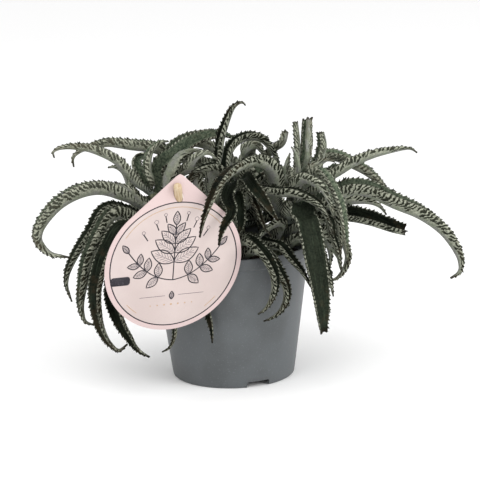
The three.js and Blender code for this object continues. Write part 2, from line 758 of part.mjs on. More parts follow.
// Leaves that would run through each other, or through anything else, are bent clear a little at a time.
function easeApart(leaves) {
  const giveAt = (i) => smoothstep(i / easing.stations, 0.04, easing.stiffRoot);
  const stations = [...Array(easing.stations + 1).keys()];
  const give = stations.map(giveAt);
  for (let pass = 0; pass < easing.passes; pass++) {
    const beads = leaves.map(beadsOf);
    const boxes = beads.map((set) => new THREE.Box3().setFromPoints(set.map((b) => b.at)).expandByScalar(6));
    const pushes = leaves.map(() => stations.map(() => ({ sum: v3(0, 0, 0), count: 0 })));
    const note = (leaf, station, way) => {
      pushes[leaf][station].sum.add(way);
      pushes[leaf][station].count += 1;
    };
    for (let a = 0; a < leaves.length; a++) {
      const others = stemBeads.filter((s) => s.name !== leaves[a].stem).flatMap((s) => s.beads);
      for (const bead of beads[a]) {
        if (give[bead.station] === 0) continue;
        const away = obstaclePush(bead, leaves[a].front);
        if (away.lengthSq() > 0) note(a, bead.station, away);
        for (const other of [...others, ...stakeBeads]) {
          const between = bead.at.clone().sub(other.at);
          const overlap = bead.radius + other.radius + easing.clear - between.length();
          if (overlap > 0) note(a, bead.station, between.normalize().multiplyScalar(overlap));
        }
      }
      for (let b = a + 1; b < leaves.length; b++) {
        if (!boxes[a].intersectsBox(boxes[b])) continue;
        for (const p of beads[a]) {
          for (const q of beads[b]) {
            const between = p.at.clone().sub(q.at);
            const overlap = p.radius + q.radius + easing.clear - between.length();
            const bothGive = give[p.station] + give[q.station];
            if (overlap <= 0 || bothGive === 0) continue;
            between.normalize().multiplyScalar(overlap / bothGive);
            if (give[p.station]) note(a, p.station, between.clone().multiplyScalar(give[p.station]));
            if (give[q.station]) note(b, q.station, between.clone().multiplyScalar(-give[q.station]));
          }
        }
      }
    }
    leaves.forEach((leaf, a) => {
      let moves = pushes[a].map(({ sum, count }) => (count ? sum.divideScalar(count) : sum));
      for (let round = 0; round < 2; round++) {
        moves = moves.map((m, i) => m.clone().multiplyScalar(2)
          .add(moves[Math.max(i - 1, 0)]).add(moves[Math.min(i + 1, easing.stations)]).divideScalar(4));
      }
      leaf.points.forEach((p, i) => {
        p.addScaledVector(moves[i], give[i]);
        p.addScaledVector(leaf.rest[i].clone().sub(p), easing.restore * give[i]);
      });
      for (let i = 1; i < leaf.points.length; i++) {
        const from = leaf.points[i - 1];
        const way = leaf.points[i].clone().sub(from).normalize();
        leaf.points[i].copy(from).addScaledVector(way, leaf.step);
      }
    });
  }
}

// ---------------------------------------------------------------- leaf and stem solids

// Closed skin over four-cornered rings: one margin, groove, other margin, keel. Each face is split
// from margin to middle, alike above and below.
function loft(rings) {
  const index = [];
  for (let k = 0; k + 1 < rings.length; k++) {
    for (let i = 0; i < 4; i++) {
      const a = 4 * k + i;
      const b = 4 * k + ((i + 1) % 4);
      const [c, d] = [b + 4, a + 4];
      if (i % 2 === 0) index.push(a, b, c, a, c, d);
      else index.push(a, b, d, b, c, d);
    }
  }
  const last = 4 * (rings.length - 1);
  index.push(0, 3, 1, 1, 3, 2);
  index.push(last, last + 1, last + 3, last + 1, last + 2, last + 3);
  const geometry = new THREE.BufferGeometry().setFromPoints(rings.flat());
  geometry.setIndex(index);
  return geometry;
}

function leafSolid(leaf) {
  const teeth = Math.max(3, Math.round(leaf.length / (leaf.pitch ?? blade.toothPitch)));
  const last = 2 * teeth; // a ring at each tooth and between each two
  const curve = new THREE.CatmullRomCurve3(leaf.points, false, 'catmullrom', 0.5);
  const middle = Array.from({ length: last + 1 }, (_, k) => curve.getPoint(k / last));
  const frames = framesAlong(middle, leaf.side, leaf.twist);
  const foldCos = Math.cos(leaf.fold);
  const foldSin = Math.sin(leaf.fold);
  const rings = middle.map((p, k) => {
    const half = leaf.half * widthAt((k / last) * leaf.cut);
    const toothed = k > 2 && (k < last || leaf.cut < 1);
    const edge = k % 2 ? blade.toothOut : blade.notchIn;
    const reach = half * (toothed ? edge : blade.plain);
    const thick = Math.min(blade.thickness, blade.thinnest + half * blade.thickening);
    const drop = -blade.drop * half * foldSin;
    const place = (across, out) => p.clone()
      .addScaledVector(frames[k].across, across)
      .addScaledVector(frames[k].out, out);
    return [
      place(-reach * foldCos, drop + reach * foldSin),
      place(0, drop + thick / 2),
      place(reach * foldCos, drop + reach * foldSin),
      place(0, drop - thick / 2),
    ];
  });
  return toSolid(loft(rings));
}

function stemTube(stem, radius) {
  const section = new THREE.Shape().absarc(0, 0, radius, 0, 2 * Math.PI);
  const sweep = { extrudePath: stem.curve, steps: 7, bevelEnabled: false, curveSegments: 4 };
  return new THREE.ExtrudeGeometry(section, sweep);
}

// The hole that a stem stands in, in the soil.
function stemHole(stem) {
  const around = toSolid(stemTube(stem, stemRadius + 2 * gap));
  return around.add(around.translate([0, 0, -gap]));
}

// ---------------------------------------------------------------- the model

const finish = (color, roughness) => new THREE.MeshStandardMaterial({ color, roughness, metalness: 0 });
const potFinish = finish(0x6f7779, 0.55);
const soilFinish = finish(0x2a211b, 0.95);
const leafFinish = finish(0x4c5a48, 0.6);
const cardFinish = finish(0xe9d3d1, 0.7);
const woodFinish = finish(0xd2b48c, 0.7);

const leaves = [...leafRows, ...fanRows()].map(leafFrom);
easeApart(leaves);

const model = new THREE.Group();
model.add(toMesh(potSolid(), 'pot', potFinish));
model.add(toMesh(soilSolid([...stems.map(stemHole), stakeBore()]), 'soil', soilFinish));
for (const stem of stems) {
  const grown = leaves.filter((leaf) => leaf.stem === stem.name).map(leafSolid);
  const solid = wasm.Manifold.union([toSolid(stemTube(stem, stemRadius)), ...grown]);
  model.add(toMesh(biggestPiece(solid), `leafy_stem_${stem.name}`, leafFinish));
}
model.add(toMesh(labelSolid(), 'label_card', cardFinish));
model.add(toMesh(stakeSolid(), 'label_stake', woodFinish));

export default model;
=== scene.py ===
# A potted mother of thousands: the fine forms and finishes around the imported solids.
# Sizes are millimetres and degrees, and each finished mesh is scaled to metres.
# The lights, the floor and the depths of the bumps are in metres from the start.
import math

import bmesh
import bpy
import numpy as np
from mathutils import Matrix, Vector, noise


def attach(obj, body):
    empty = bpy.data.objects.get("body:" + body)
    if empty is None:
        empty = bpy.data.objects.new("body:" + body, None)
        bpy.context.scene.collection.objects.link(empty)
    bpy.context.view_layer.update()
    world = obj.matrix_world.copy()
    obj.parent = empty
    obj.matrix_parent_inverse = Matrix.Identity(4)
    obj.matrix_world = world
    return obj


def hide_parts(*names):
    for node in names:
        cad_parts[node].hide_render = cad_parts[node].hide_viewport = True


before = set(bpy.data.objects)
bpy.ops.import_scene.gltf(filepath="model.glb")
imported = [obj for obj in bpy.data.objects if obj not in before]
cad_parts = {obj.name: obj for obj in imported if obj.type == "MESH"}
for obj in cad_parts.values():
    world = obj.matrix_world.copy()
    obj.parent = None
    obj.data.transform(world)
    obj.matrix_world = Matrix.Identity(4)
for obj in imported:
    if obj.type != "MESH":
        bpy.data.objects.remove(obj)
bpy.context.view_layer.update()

mm = 0.001
mergeReach = 1e-4  # vertices closer than this are one
print("frame loaded:", sorted(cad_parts))


# camera, floor and lights

cameraSetup = dict(
    target=(7, 0, 101), distance=1500, elevation=13.5, roll=1.4,
    pixelPitch=0.74, frameWidth=480,  # the size of a pixel at the target, and the pixels in a row
    sensor=36, clipEnd=20,
)


def newObject(name, data):
    # an object in the scene, at the origin
    made = bpy.data.objects.new(name, data)
    bpy.context.scene.collection.objects.link(made)
    return made


def placeCamera():
    setup = cameraSetup
    camera = newObject("viewCamera", bpy.data.cameras.new("viewCamera"))
    tilt = math.radians(setup["elevation"])
    reach = setup["distance"]
    back = Vector((0, -math.cos(tilt), math.sin(tilt))) * reach
    camera.location = (Vector(setup["target"]) + back) * mm
    roll = Matrix.Rotation(-math.radians(setup["roll"]), 3, "Z")
    camera.rotation_euler = (Matrix.Rotation(math.pi / 2 - tilt, 3, "X") @ roll).to_euler()
    camera.data.sensor_width = setup["sensor"]
    camera.data.lens = setup["sensor"] * reach / (setup["pixelPitch"] * setup["frameWidth"])
    camera.data.clip_end = setup["clipEnd"]
    bpy.context.scene.camera = camera


lightSetup = dict(
    sky=(1.0, 1.0, 1.0, 1.0), skyStrength=0.93, aim=(0, 0, 0.1),
    key=dict(place=(-0.5, -1.0, 1.7), size=1.6, watts=12),
    fill=dict(place=(1.5, -1.0, 0.9), size=1.2, watts=17),
    floorSize=12, floorShade=(0.99, 0.99, 0.99, 1), floorRoughness=0.9,
)


def areaLight(name, place, size, watts):
    lamp = bpy.data.lights.new(name, "AREA")
    lamp.shape = "DISK"
    lamp.size = size
    lamp.energy = watts
    light = newObject(name, lamp)
    light.location = place
    light.rotation_euler = (Vector(lightSetup["aim"]) - Vector(place)).to_track_quat("-Z", "Y").to_euler()


def lightTheStage():
    setup = lightSetup
    world = bpy.data.worlds.new("studio")
    world.use_nodes = True
    background = world.node_tree.nodes["Background"]
    background.inputs["Color"].default_value = setup["sky"]
    background.inputs["Strength"].default_value = setup["skyStrength"]
    bpy.context.scene.world = world
    bpy.context.scene.view_settings.view_transform = "Standard"
    areaLight("keyLight", **setup["key"])
    areaLight("fillLight", **setup["fill"])
    bm = bmesh.new()
    bmesh.ops.create_grid(bm, x_segments=1, y_segments=1, size=setup["floorSize"] / 2)
    mesh = bpy.data.meshes.new("floor")
    bm.to_mesh(mesh)
    bm.free()
    mesh.materials.append(plainFinish("floorPaint", setup["floorShade"], setup["floorRoughness"]))
    floor = newObject("floor", mesh)


# small tools for finishes

def colour(code):
    # a web colour as the linear values that shader sockets take
    parts = [int(code[k:k + 2], 16) / 255 for k in (1, 3, 5)]
    return (*(p / 12.92 if p <= 0.04045 else ((p + 0.055) / 1.055) ** 2.4 for p in parts), 1)


def plainFinish(name, shade, roughness):
    material = bpy.data.materials.new(name)
    material.use_nodes = True
    surface = material.node_tree.nodes["Principled BSDF"]
    surface.inputs["Base Color"].default_value = shade
    surface.inputs["Roughness"].default_value = roughness
    return material


class Finish:
    # a material under construction: each method adds nodes and hands back an output
    def __init__(self, name, roughness, gloss):
        self.material = plainFinish(name, (0.5, 0.5, 0.5, 1), roughness)
        self.tree = self.material.node_tree
        self.surface = self.tree.nodes["Principled BSDF"]
        self.surface.inputs["Specular IOR Level"].default_value = gloss

    def add(self, kind, sockets, **settings):
        node = self.tree.nodes.new("ShaderNode" + kind)
        for key, value in settings.items():
            setattr(node, key, value)
        for key, value in sockets.items():
            if isinstance(value, bpy.types.NodeSocket):
                self.tree.links.new(value, node.inputs[key])
            else:
                node.inputs[key].default_value = value
        return node

    def place(self, scale=(1, 1, 1), turn=(0, 0, 0), centre=(0, 0, 0)):
        # object coordinates, centred and turned on the piece
        where = self.add("TexCoord", {}).outputs["Object"]
        sockets = {"Vector": where, "Location": centre, "Rotation": turn, "Scale": scale}
        return self.add("Mapping", sockets, vector_type="TEXTURE").outputs["Vector"]

    def mark(self, name):
        # a value that each vertex carries
        return self.add("Attribute", {}, attribute_name=name).outputs["Fac"]

    def join(self, x, y, z=0.0):
        return self.add("CombineXYZ", {0: x, 1: y, 2: z}).outputs[0]

    def work(self, operation, a, b=0.0, c=0.0):
        return self.add("Math", {0: a, 1: b, 2: c}, operation=operation).outputs[0]

    def times(self, a, b, plus=None):
        if plus is None:
            return self.work("MULTIPLY", a, b)
        return self.work("MULTIPLY_ADD", a, b, plus)

    def apart(self, a, b):
        # the size of the difference
        return self.work("ABSOLUTE", self.work("SUBTRACT", a, b))

    def ease(self, value, low, high, start=0.0, end=1.0):
        sockets = {"Value": value, "From Min": low, "From Max": high, "To Min": start, "To Max": end}
        return self.add("MapRange", sockets, interpolation_type="SMOOTHSTEP").outputs[0]

    def cloud(self, where, scale, detail=3.0, roughness=0.55):
        sockets = {"Vector": where, "Scale": scale, "Detail": detail, "Roughness": roughness}
        return self.add("TexNoise", sockets).outputs["Fac"]

    def blend(self, factor, first, second, mode="MIX"):
        first, second = (colour(s) if isinstance(s, str) else s for s in (first, second))
        return self.add("Mix", {0: factor, 6: first, 7: second}, data_type="RGBA", blend_type=mode).outputs[2]

    def tint(self, first, second, value, low, high, start=0.0, end=1.0):
        # the first shade gives way to the second as the value climbs from low to high
        return self.blend(self.ease(value, low, high, start, end), first, second)

    def show(self, shade, roughness=None, height=None, depth=0.0):
        self.tree.links.new(shade, self.surface.inputs["Base Color"])
        if roughness is not None:
            self.tree.links.new(roughness, self.surface.inputs["Roughness"])
        if height is not None:
            bump = self.add("Bump", {"Height": height, "Distance": depth, "Strength": 1.0})
            self.tree.links.new(bump.outputs["Normal"], self.surface.inputs["Normal"])
        return self.material


# small tools for pieces

def makePiece(name, bm, finishes, nodes=()):
    # the mesh becomes a finished piece, in metres, that rides on the one body
    bmesh.ops.scale(bm, vec=(mm, mm, mm), verts=bm.verts)
    mesh = bpy.data.meshes.new(name)
    bm.to_mesh(mesh)
    bm.free()
    for finish in finishes:
        mesh.materials.append(finish)
    mesh.polygons.foreach_set("use_smooth", [True] * len(mesh.polygons))
    piece = newObject(name, mesh)
    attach(piece, "root")
    if nodes:
        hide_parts(*nodes)
    return piece


def markSharp(piece, degrees):
    # edges that turn more than this stay crisp
    piece.data.set_sharp_from_angle(angle=math.radians(degrees))


def tidyShell(bm):
    bmesh.ops.remove_doubles(bm, verts=bm.verts, dist=mergeReach)
    bmesh.ops.recalc_face_normals(bm, faces=bm.faces)


def roundEdges(bm, edges, radius, segments):
    return bmesh.ops.bevel(bm, geom=edges, offset=radius, segments=segments, profile=0.5,
                           affect="EDGES", material=-1)["verts"]


def addRod(bm, radius, length, steps, place):
    bmesh.ops.create_cone(bm, cap_ends=True, segments=steps, radius1=radius, radius2=radius,
                          depth=length, matrix=place)


def cutAway(bm, cutters):
    # the first mesh less the second, both closed
    shapes = []
    for part in (bm, cutters):
        mesh = bpy.data.meshes.new("shape")
        part.to_mesh(mesh)
        part.free()
        shapes.append(newObject("shape", mesh))
    cut = shapes[0].modifiers.new("cut", "BOOLEAN")
    cut.object = shapes[1]
    cut.operation = "DIFFERENCE"
    cut.solver = "EXACT"
    bpy.context.view_layer.update()
    left = bmesh.new()
    left.from_object(shapes[0], bpy.context.evaluated_depsgraph_get())
    for shape in shapes:
        bpy.data.objects.remove(shape)
    return left


def spinProfile(profile, steps):
    # a closed shell from half of its section: points of radius and height, from axis to axis
    bm = bmesh.new()
    rims = [bm.verts.new((radius, 0, height)) for radius, height in profile]
    edges = [bm.edges.new(pair) for pair in zip(rims, rims[1:])]
    bmesh.ops.spin(bm, geom=rims + edges, cent=(0, 0, 0), axis=(0, 0, 1), angle=2 * math.pi,
                   steps=steps, use_merge=True)
    tidyShell(bm)
    return bm


def roundCorners(points, radius, steps=4, share=0.45):
    # each corner of an open line becomes an arc that takes up at most this share of its sides
    line = [Vector(p) for p in points]
    smoothed = [line[0]]
    for before, corner, after in zip(line, line[1:], line[2:]):
        reach = min(radius, (before - corner).length * share, (after - corner).length * share)
        start = corner + (before - corner).normalized() * reach
        end = corner + (after - corner).normalized() * reach
        for k in range(steps + 1):
            t = k / steps
            smoothed.append(start * (1 - t) ** 2 + corner * 2 * t * (1 - t) + end * t * t)
    return [tuple(p) for p in smoothed + [line[-1]]]


# the pot

gap = 0.3  # between pieces that touch

pot = dict(
    height=100, rimRadius=60, rimBand=9, rimFlare=0.8, rimStep=1, lip=1.8, rimInside=2.6, shoulder=1.5,
    bodyTop=57.6, bodyFoot=45.4, footRound=2.4, footTuck=0.2, footRing=3, ringSlope=0.4,
    wall=1.2, footDepth=5, padRadius=22, padSlope=2,
    notches=3, notchWidth=17.5, notchHeight=4.5, notchReach=9, notchRound=1.2, firstNotch=-66.5,
    drains=6, drainRadius=3, drainRing=33, firstDrain=12, drainOver=2,
    steps=144, edge=0.55, crisp=32,
)


def potOuterAt(height):
    return pot["bodyFoot"] + (pot["bodyTop"] - pot["bodyFoot"]) * height / (pot["height"] - pot["rimBand"])


def potPlastic():
    finish = Finish("potPlastic", 0.46, gloss=0.42)
    where = finish.place()
    flow = finish.cloud(finish.place(scale=(1, 1, 6)), 26, detail=2)
    cloudy = finish.cloud(where, 38, detail=4)
    speck = finish.ease(finish.cloud(where, 900, detail=2), 0.6, 0.72)
    shade = finish.tint("#494c4d", "#54585a", cloudy, 0.3, 0.7)
    shade = finish.blend(finish.times(flow, 0.35), shade, "#606467")
    shade = finish.blend(finish.times(speck, 0.35), shade, "#73777a")
    grain = finish.cloud(where, 2600, detail=2)
    roughness = finish.ease(cloudy, 0.2, 0.8, 0.4, 0.54)
    height = finish.times(flow, 2.5, finish.times(grain, 0.25))
    return finish.show(shade, roughness, height, 0.00006)


def potProfile():
    # from the middle of the base out, up the wall, over the rim and down the inside
    p = pot
    underRim = p["height"] - p["rimBand"]
    floor = p["footDepth"] + p["wall"]
    ringInside = p["bodyFoot"] - p["footRing"]
    base = [
        (0, 0),
        (p["padRadius"], 0),
        (p["padRadius"] + p["padSlope"], p["footDepth"]),
        (ringInside - p["ringSlope"], p["footDepth"]),
    ]
    foot = [
        (ringInside, 0),
        (p["bodyFoot"] - p["footTuck"], 0),
        (potOuterAt(2 * p["footRound"]), 2 * p["footRound"]),
    ]
    wall = [
        foot[-1],
        (potOuterAt(underRim), underRim),
        (p["rimRadius"] - p["rimFlare"], underRim + p["rimStep"]),
        (p["rimRadius"], p["height"]),
        (p["rimRadius"] - p["lip"], p["height"]),
        (p["rimRadius"] - p["rimInside"], underRim + p["rimStep"]),
        (potOuterAt(underRim) - p["wall"], underRim - p["shoulder"]),
        (potOuterAt(floor) - p["wall"], floor),
        (p["padRadius"] + p["padSlope"] / 2, floor),
        (p["padRadius"] - p["padSlope"] / 2, p["wall"]),
        (0, p["wall"]),
    ]
    return base + roundCorners(foot, p["footRound"], 6)[:-1] + roundCorners(wall, p["edge"])


def makePot():
    p = pot
    floor = p["footDepth"] + p["wall"]
    cutters = bmesh.new()
    for k in range(p["notches"]):
        turn = Matrix.Rotation(math.radians(p["firstNotch"] + 360 / p["notches"] * k), 4, "Z")
        box = bmesh.ops.create_cube(cutters, size=1)["verts"]
        bmesh.ops.scale(cutters, vec=(p["notchReach"], p["notchWidth"], 2 * p["notchHeight"]), verts=box)
        bmesh.ops.translate(cutters, vec=(p["bodyFoot"] - p["footRing"] / 2, 0, 0), verts=box)
        corners = [e for e in cutters.edges if e.verts[0] in box and all(v.co.z > 0 for v in e.verts)
                   and abs(e.verts[0].co.y - e.verts[1].co.y) < mergeReach]
        around = set(box) | set(roundEdges(cutters, corners, p["notchRound"], 4))
        bmesh.ops.transform(cutters, matrix=turn, verts=[v for v in around if v.is_valid])
    for k in range(p["drains"]):
        turn = math.radians(p["firstDrain"] + 360 / p["drains"] * k)
        centre = (p["drainRing"] * math.cos(turn), p["drainRing"] * math.sin(turn), floor)
        addRod(cutters, p["drainRadius"], 2 * p["wall"] + p["drainOver"], 24, Matrix.Translation(centre))
    shell = cutAway(spinProfile(potProfile(), p["steps"]), cutters)
    markSharp(makePiece("nurseryPot", shell, [potPlastic()], ["pot"]), p["crisp"])


# the soil

soil = dict(
    top=89, edgeDip=2.5, inset=4, bump=1.6, slowLumps=(0.23, 0.19), lumpShift=1.1, fastLumps=(0.41, 0.37),
    fastShare=0.6, rough=1.3, grain=0.34, footRound=2.4, rings=44, steps=150,
    crumbs=900, splinters=90, crumbSizes=(0.5, 1.9), splinterLength=4.5, splinterWidth=0.5,
    spread=0.97, sunk=0.25, breadth=0.8, flatness=0.62, fewLarge=2.5, tilt=0.25, dents=(0.75, 0.5), seed=11,
)


def soilHeight(x, y):
    s = soil
    far = math.hypot(x, y) / (pot["rimRadius"] - s["inset"])
    slow = math.sin(x * s["slowLumps"][0] + s["lumpShift"]) * math.cos(y * s["slowLumps"][1])
    lumps = slow + s["fastShare"] * math.sin(x * s["fastLumps"][0] - y * s["fastLumps"][1])
    plain = s["top"] + s["bump"] * lumps * (1 - far * far) - s["edgeDip"] * far * far
    grain = noise.fractal(Vector((x, y, 3)) * s["grain"], 0.9, 2.1, 4)
    return plain + s["rough"] * grain * max(0.0, 1 - far**8)


def soilCrumb():
    finish = Finish("soilCrumb", 0.93, gloss=0.25)
    coarse = finish.cloud(finish.place(), 240, detail=5, roughness=0.7)
    fibre = finish.cloud(finish.place(scale=(1, 5, 1)), 700, detail=3)
    shade = finish.tint("#17120d", "#3b2d20", coarse, 0.35, 0.68)
    shade = finish.tint(shade, "#5d4732", fibre, 0.6, 0.75)
    return finish.show(shade, None, coarse, 0.0006)


def makeSoil():
    s = soil
    rough = np.random.default_rng(s["seed"])
    base = pot["wall"] + gap
    floor = pot["footDepth"] + base
    edge = potOuterAt(s["top"] - s["edgeDip"]) - base
    lower = [
        (0, base),
        (pot["padRadius"] - pot["padSlope"] / 2 - gap, base),
        (pot["padRadius"] + pot["padSlope"] / 2 - gap, floor),
        (potOuterAt(floor) - base - s["footRound"], floor),
        (potOuterAt(floor + s["footRound"]) - base, floor + s["footRound"]),
    ]
    upper = [(edge * (1 - k / s["rings"]), s["top"]) for k in range(s["rings"] + 1)]
    bm = spinProfile(lower + upper, s["steps"])
    for v in bm.verts:
        if v.co.z > s["top"] - mergeReach:
            v.co.z = soilHeight(v.co.x, v.co.y)
    for k in range(s["crumbs"] + s["splinters"]):
        reach = edge * s["spread"] * math.sqrt(rough.random())
        turn = rough.random() * 2 * math.pi
        x, y = reach * math.cos(turn), reach * math.sin(turn)
        low, high = s["crumbSizes"]
        size = low + (high - low) * rough.random() ** s["fewLarge"]
        long, width = (1.0, size) if k < s["crumbs"] else (s["splinterLength"], size * s["splinterWidth"])
        spin = Matrix.Rotation(rough.random() * math.pi, 4, "Z")
        spin = spin @ Matrix.Rotation(rough.normal() * s["tilt"], 4, "Y")
        form = Matrix.Translation((x, y, soilHeight(x, y) + width * s["sunk"])) @ spin
        form = form @ Matrix.Diagonal((width * long, width * s["breadth"], width * s["flatness"], 1))
        crumb = bmesh.ops.create_icosphere(bm, subdivisions=1, radius=1)["verts"]
        for v in crumb:
            v.co *= s["dents"][0] + s["dents"][1] * rough.random()
        bmesh.ops.transform(bm, matrix=form, verts=crumb)
    makePiece("pottingSoil", bm, [soilCrumb()], ["soil"])


# the label and its stake

label = dict(
    radius=51, apex=69, pointTurn=1, blunt=0.9, thickness=0.8, hole=52, drill=12, edge=0.18,
    centre=(-40, -82.5, 104.5), turn=22, lean=12, tilt=1.5, steps=180, crisp=30,
    shoulder=30, pointSpread=1.1,  # where the leaves find the point, and how wide they take it to be
)
labelTurn = np.array(
    Matrix.Rotation(math.radians(label["turn"]), 3, "Z")
    @ Matrix.Rotation(math.radians(90 + label["lean"]), 3, "X")
    @ Matrix.Rotation(-math.radians(label["tilt"]), 3, "Z"))
labelRight, labelUp, labelFront = labelTurn.T
labelPlace = Matrix.Translation(label["centre"]) @ Matrix(labelTurn.tolist()).to_4x4()

stake = dict(radius=2.9, foot=(-33, -20, 78), beyond=11, dome=1.2, rounding=1.7, steps=40, crisp=50)
stakeFoot = np.array(stake["foot"], float)
holeCentre = np.array(label["centre"]) + labelUp * label["hole"]
stakeWay = (holeCentre - stakeFoot) / np.linalg.norm(holeCentre - stakeFoot)
stakeTip = holeCentre + stakeWay * stake["beyond"]
stakeTurn = Vector(stakeWay).to_track_quat("Z", "Y").to_matrix().to_4x4()


def cardStock():
    # a touch pinker beyond the printed ring
    finish = Finish("cardStock", 0.62, gloss=0.3)
    where = finish.place()
    wash = finish.cloud(where, 30, detail=3)
    fibre = finish.cloud(where, 1500, detail=3)
    face = finish.place(turn=labelPlace.to_euler(), centre=[c * mm for c in label["centre"]])
    across = finish.add("VectorMath", {0: face, 1: (1, 1, 0)}, operation="MULTIPLY").outputs[0]
    far = finish.add("VectorMath", {0: across}, operation="LENGTH").outputs["Value"]
    start, end = ((printing["ringRadius"] + step) * mm for step in printing["ringFade"])
    shade = finish.tint("#c3b4b0", "#cbbdb9", wash, 0.3, 0.7)
    shade = finish.tint(shade, "#ceb9b7", far, start, end)
    shade = finish.tint(shade, "#ad9e9c", fibre, 0.55, 0.8, 0, 0.3)
    return finish.show(shade, None, fibre, 0.00004)


def inkFinish(name, fresh, worn):
    finish = Finish(name, 0.55, gloss=0.3)
    wear = finish.cloud(finish.place(), 700, detail=2)
    return finish.show(finish.tint(fresh, worn, wear, 0.5, 0.8, 0, 0.55))


def makeCard():
    # a disc whose top is drawn out to a point by the two straight edges that touch it
    bm = bmesh.new()
    bmesh.ops.create_circle(bm, cap_ends=True, segments=label["steps"], radius=label["radius"])
    spread = math.acos(label["radius"] / label["apex"])
    for v in bm.verts:
        off = abs(math.atan2(v.co.x, v.co.y))
        if off < label["pointTurn"]:
            reach = label["radius"] / math.cos(max(0.0, spread - off))
            v.co *= min(reach, (label["apex"] - label["blunt"]) / math.cos(off)) / label["radius"]
    raised = bmesh.ops.extrude_face_region(bm, geom=bm.faces[:])["geom"]
    top = [g for g in raised if isinstance(g, bmesh.types.BMVert)]
    bmesh.ops.translate(bm, vec=(0, 0, label["thickness"]), verts=top)
    bmesh.ops.recalc_face_normals(bm, faces=bm.faces)
    rims = [e for e in bm.edges if abs(e.verts[0].co.z - e.verts[1].co.z) < mergeReach]
    roundEdges(bm, rims, label["edge"], 2)
    bmesh.ops.transform(bm, matrix=labelPlace, verts=bm.verts)
    cutter = bmesh.new()
    place = Matrix.Translation(holeCentre) @ stakeTurn
    addRod(cutter, stake["radius"] + gap, label["drill"], stake["steps"], place)
    card = makePiece("labelCard", cutAway(bm, cutter), [cardStock()], ["label_card"])
    markSharp(card, label["crisp"])


# the print: stations up a sprig's stem where pairs of leaves stand, and the size and spread of each pair
printing = dict(
    ringRadius=47.2, ringFade=(-0.7, 0.3), ringWidth=0.9, boldWidth=0.85, fineWidth=0.36, filmHeight=0.05,
    tanRadius=43.6, tanWidth=0.5, tanArcs=((32, 148, 50), (-140, -126, 8), (-54, -40, 8)),
    tab=(-39.2, -9.6), tabSize=(14.5, 6.6), tabCorner=2.2,
    rule=-24, ruleFrom=5, ruleTo=24, bud=(6, 3.4), dots=-31, dotStep=5.2, dotSize=0.75, dotShrink=0.1,
    foot=-12, step=3.5, knots=13, bowWidth=34, bowRise=20, bowPower=2.2,
    upright=dict(stations=(0.3, 0.5, 0.7, 0.86), lengths=(20, 18.5, 15, 10.5), widths=(10, 9, 7.2, 5.2),
                 openings=(62, 54, 46, 38), endLeaf=(10.5, 5.2)),
    bowed=dict(stations=(0.34, 0.56, 0.78), lengths=(11, 10.5, 9), widths=(6, 5.6, 4.6),
               openings=(66, 58, 48), endLeaf=(8, 3.8)),
    flowers=((15, 33.5, 1.5), (24, 26, 1.2), (8.5, 38.5, 1.1)), stalk=5, stalkLean=0.86,
)
# one drawn leaf: its outline, rib and hatching, in shares of its length and width
sketch = dict(
    steps=12, fullness=0.85, breadth=1.12, narrowing=0.3, rib=(0.04, 0.82),
    hatches=5, firstHatch=0.12, hatchStep=0.13, hatchRun=0.15, hatchLanes=(0.12, 0.66),
)


def inkStrokes(name, strokes, width, finish):
    # flat lines printed on the face of the card; a stroke is its points and whether it closes
    curve = bpy.data.curves.new(name, "CURVE")
    curve.dimensions = "3D"
    curve.bevel_depth = width / 2
    curve.bevel_resolution = 0
    curve.use_fill_caps = True
    for points, closed in strokes:
        spline = curve.splines.new("POLY")
        spline.points.add(len(points) - 1)
        for knot, (x, y) in zip(spline.points, points):
            knot.co = (x, y, 0, 1)
        spline.use_cyclic_u = closed
    drawn = newObject(name, curve)
    bpy.context.view_layer.update()
    mesh = bpy.data.meshes.new_from_object(drawn.evaluated_get(bpy.context.evaluated_depsgraph_get()))
    bm = bmesh.new()
    bm.from_mesh(mesh)
    bpy.data.objects.remove(drawn)
    printOnCard(name, bm, finish)


def printOnCard(name, bm, finish):
    # flattened to a film of ink that stands just proud of the card
    thick = max(v.co.z for v in bm.verts)
    bmesh.ops.scale(bm, vec=(1, 1, printing["filmHeight"] / thick), verts=bm.verts)
    bmesh.ops.translate(bm, vec=(0, 0, label["thickness"]), verts=bm.verts)
    bmesh.ops.transform(bm, matrix=labelPlace, verts=bm.verts)
    makePiece(name, bm, [finish])


def arc(radius, start, end, steps):
    turns = [math.radians(start + (end - start) * k / steps) for k in range(steps + 1)]
    return [(radius * math.cos(t), radius * math.sin(t)) for t in turns]


def leafDrawing(base, heading, length, width):
    # outline, rib and hatching of one pointed leaf
    way = np.array([math.cos(math.radians(heading)), math.sin(math.radians(heading))])
    aside = np.array([-way[1], way[0]])

    def spot(t, lane):
        swell = math.sin(math.pi * t) ** sketch["fullness"] * (sketch["breadth"] - sketch["narrowing"] * t)
        return tuple(np.array(base) + way * length * t + aside * lane * width / 2 * swell)

    steps = sketch["steps"]
    outline = [spot(k / steps, 1) for k in range(steps + 1)]
    outline += [spot(k / steps, -1) for k in range(steps - 1, 0, -1)]
    fine = [([spot(t, 0) for t in sketch["rib"]], False)]
    inner, outer = sketch["hatchLanes"]
    for k in range(sketch["hatches"]):
        t = sketch["firstHatch"] + sketch["hatchStep"] * k
        for lane in (-1, 1):
            fine.append(([spot(t, lane * inner), spot(t + sketch["hatchRun"], lane * outer)], False))
    return (outline, True), fine


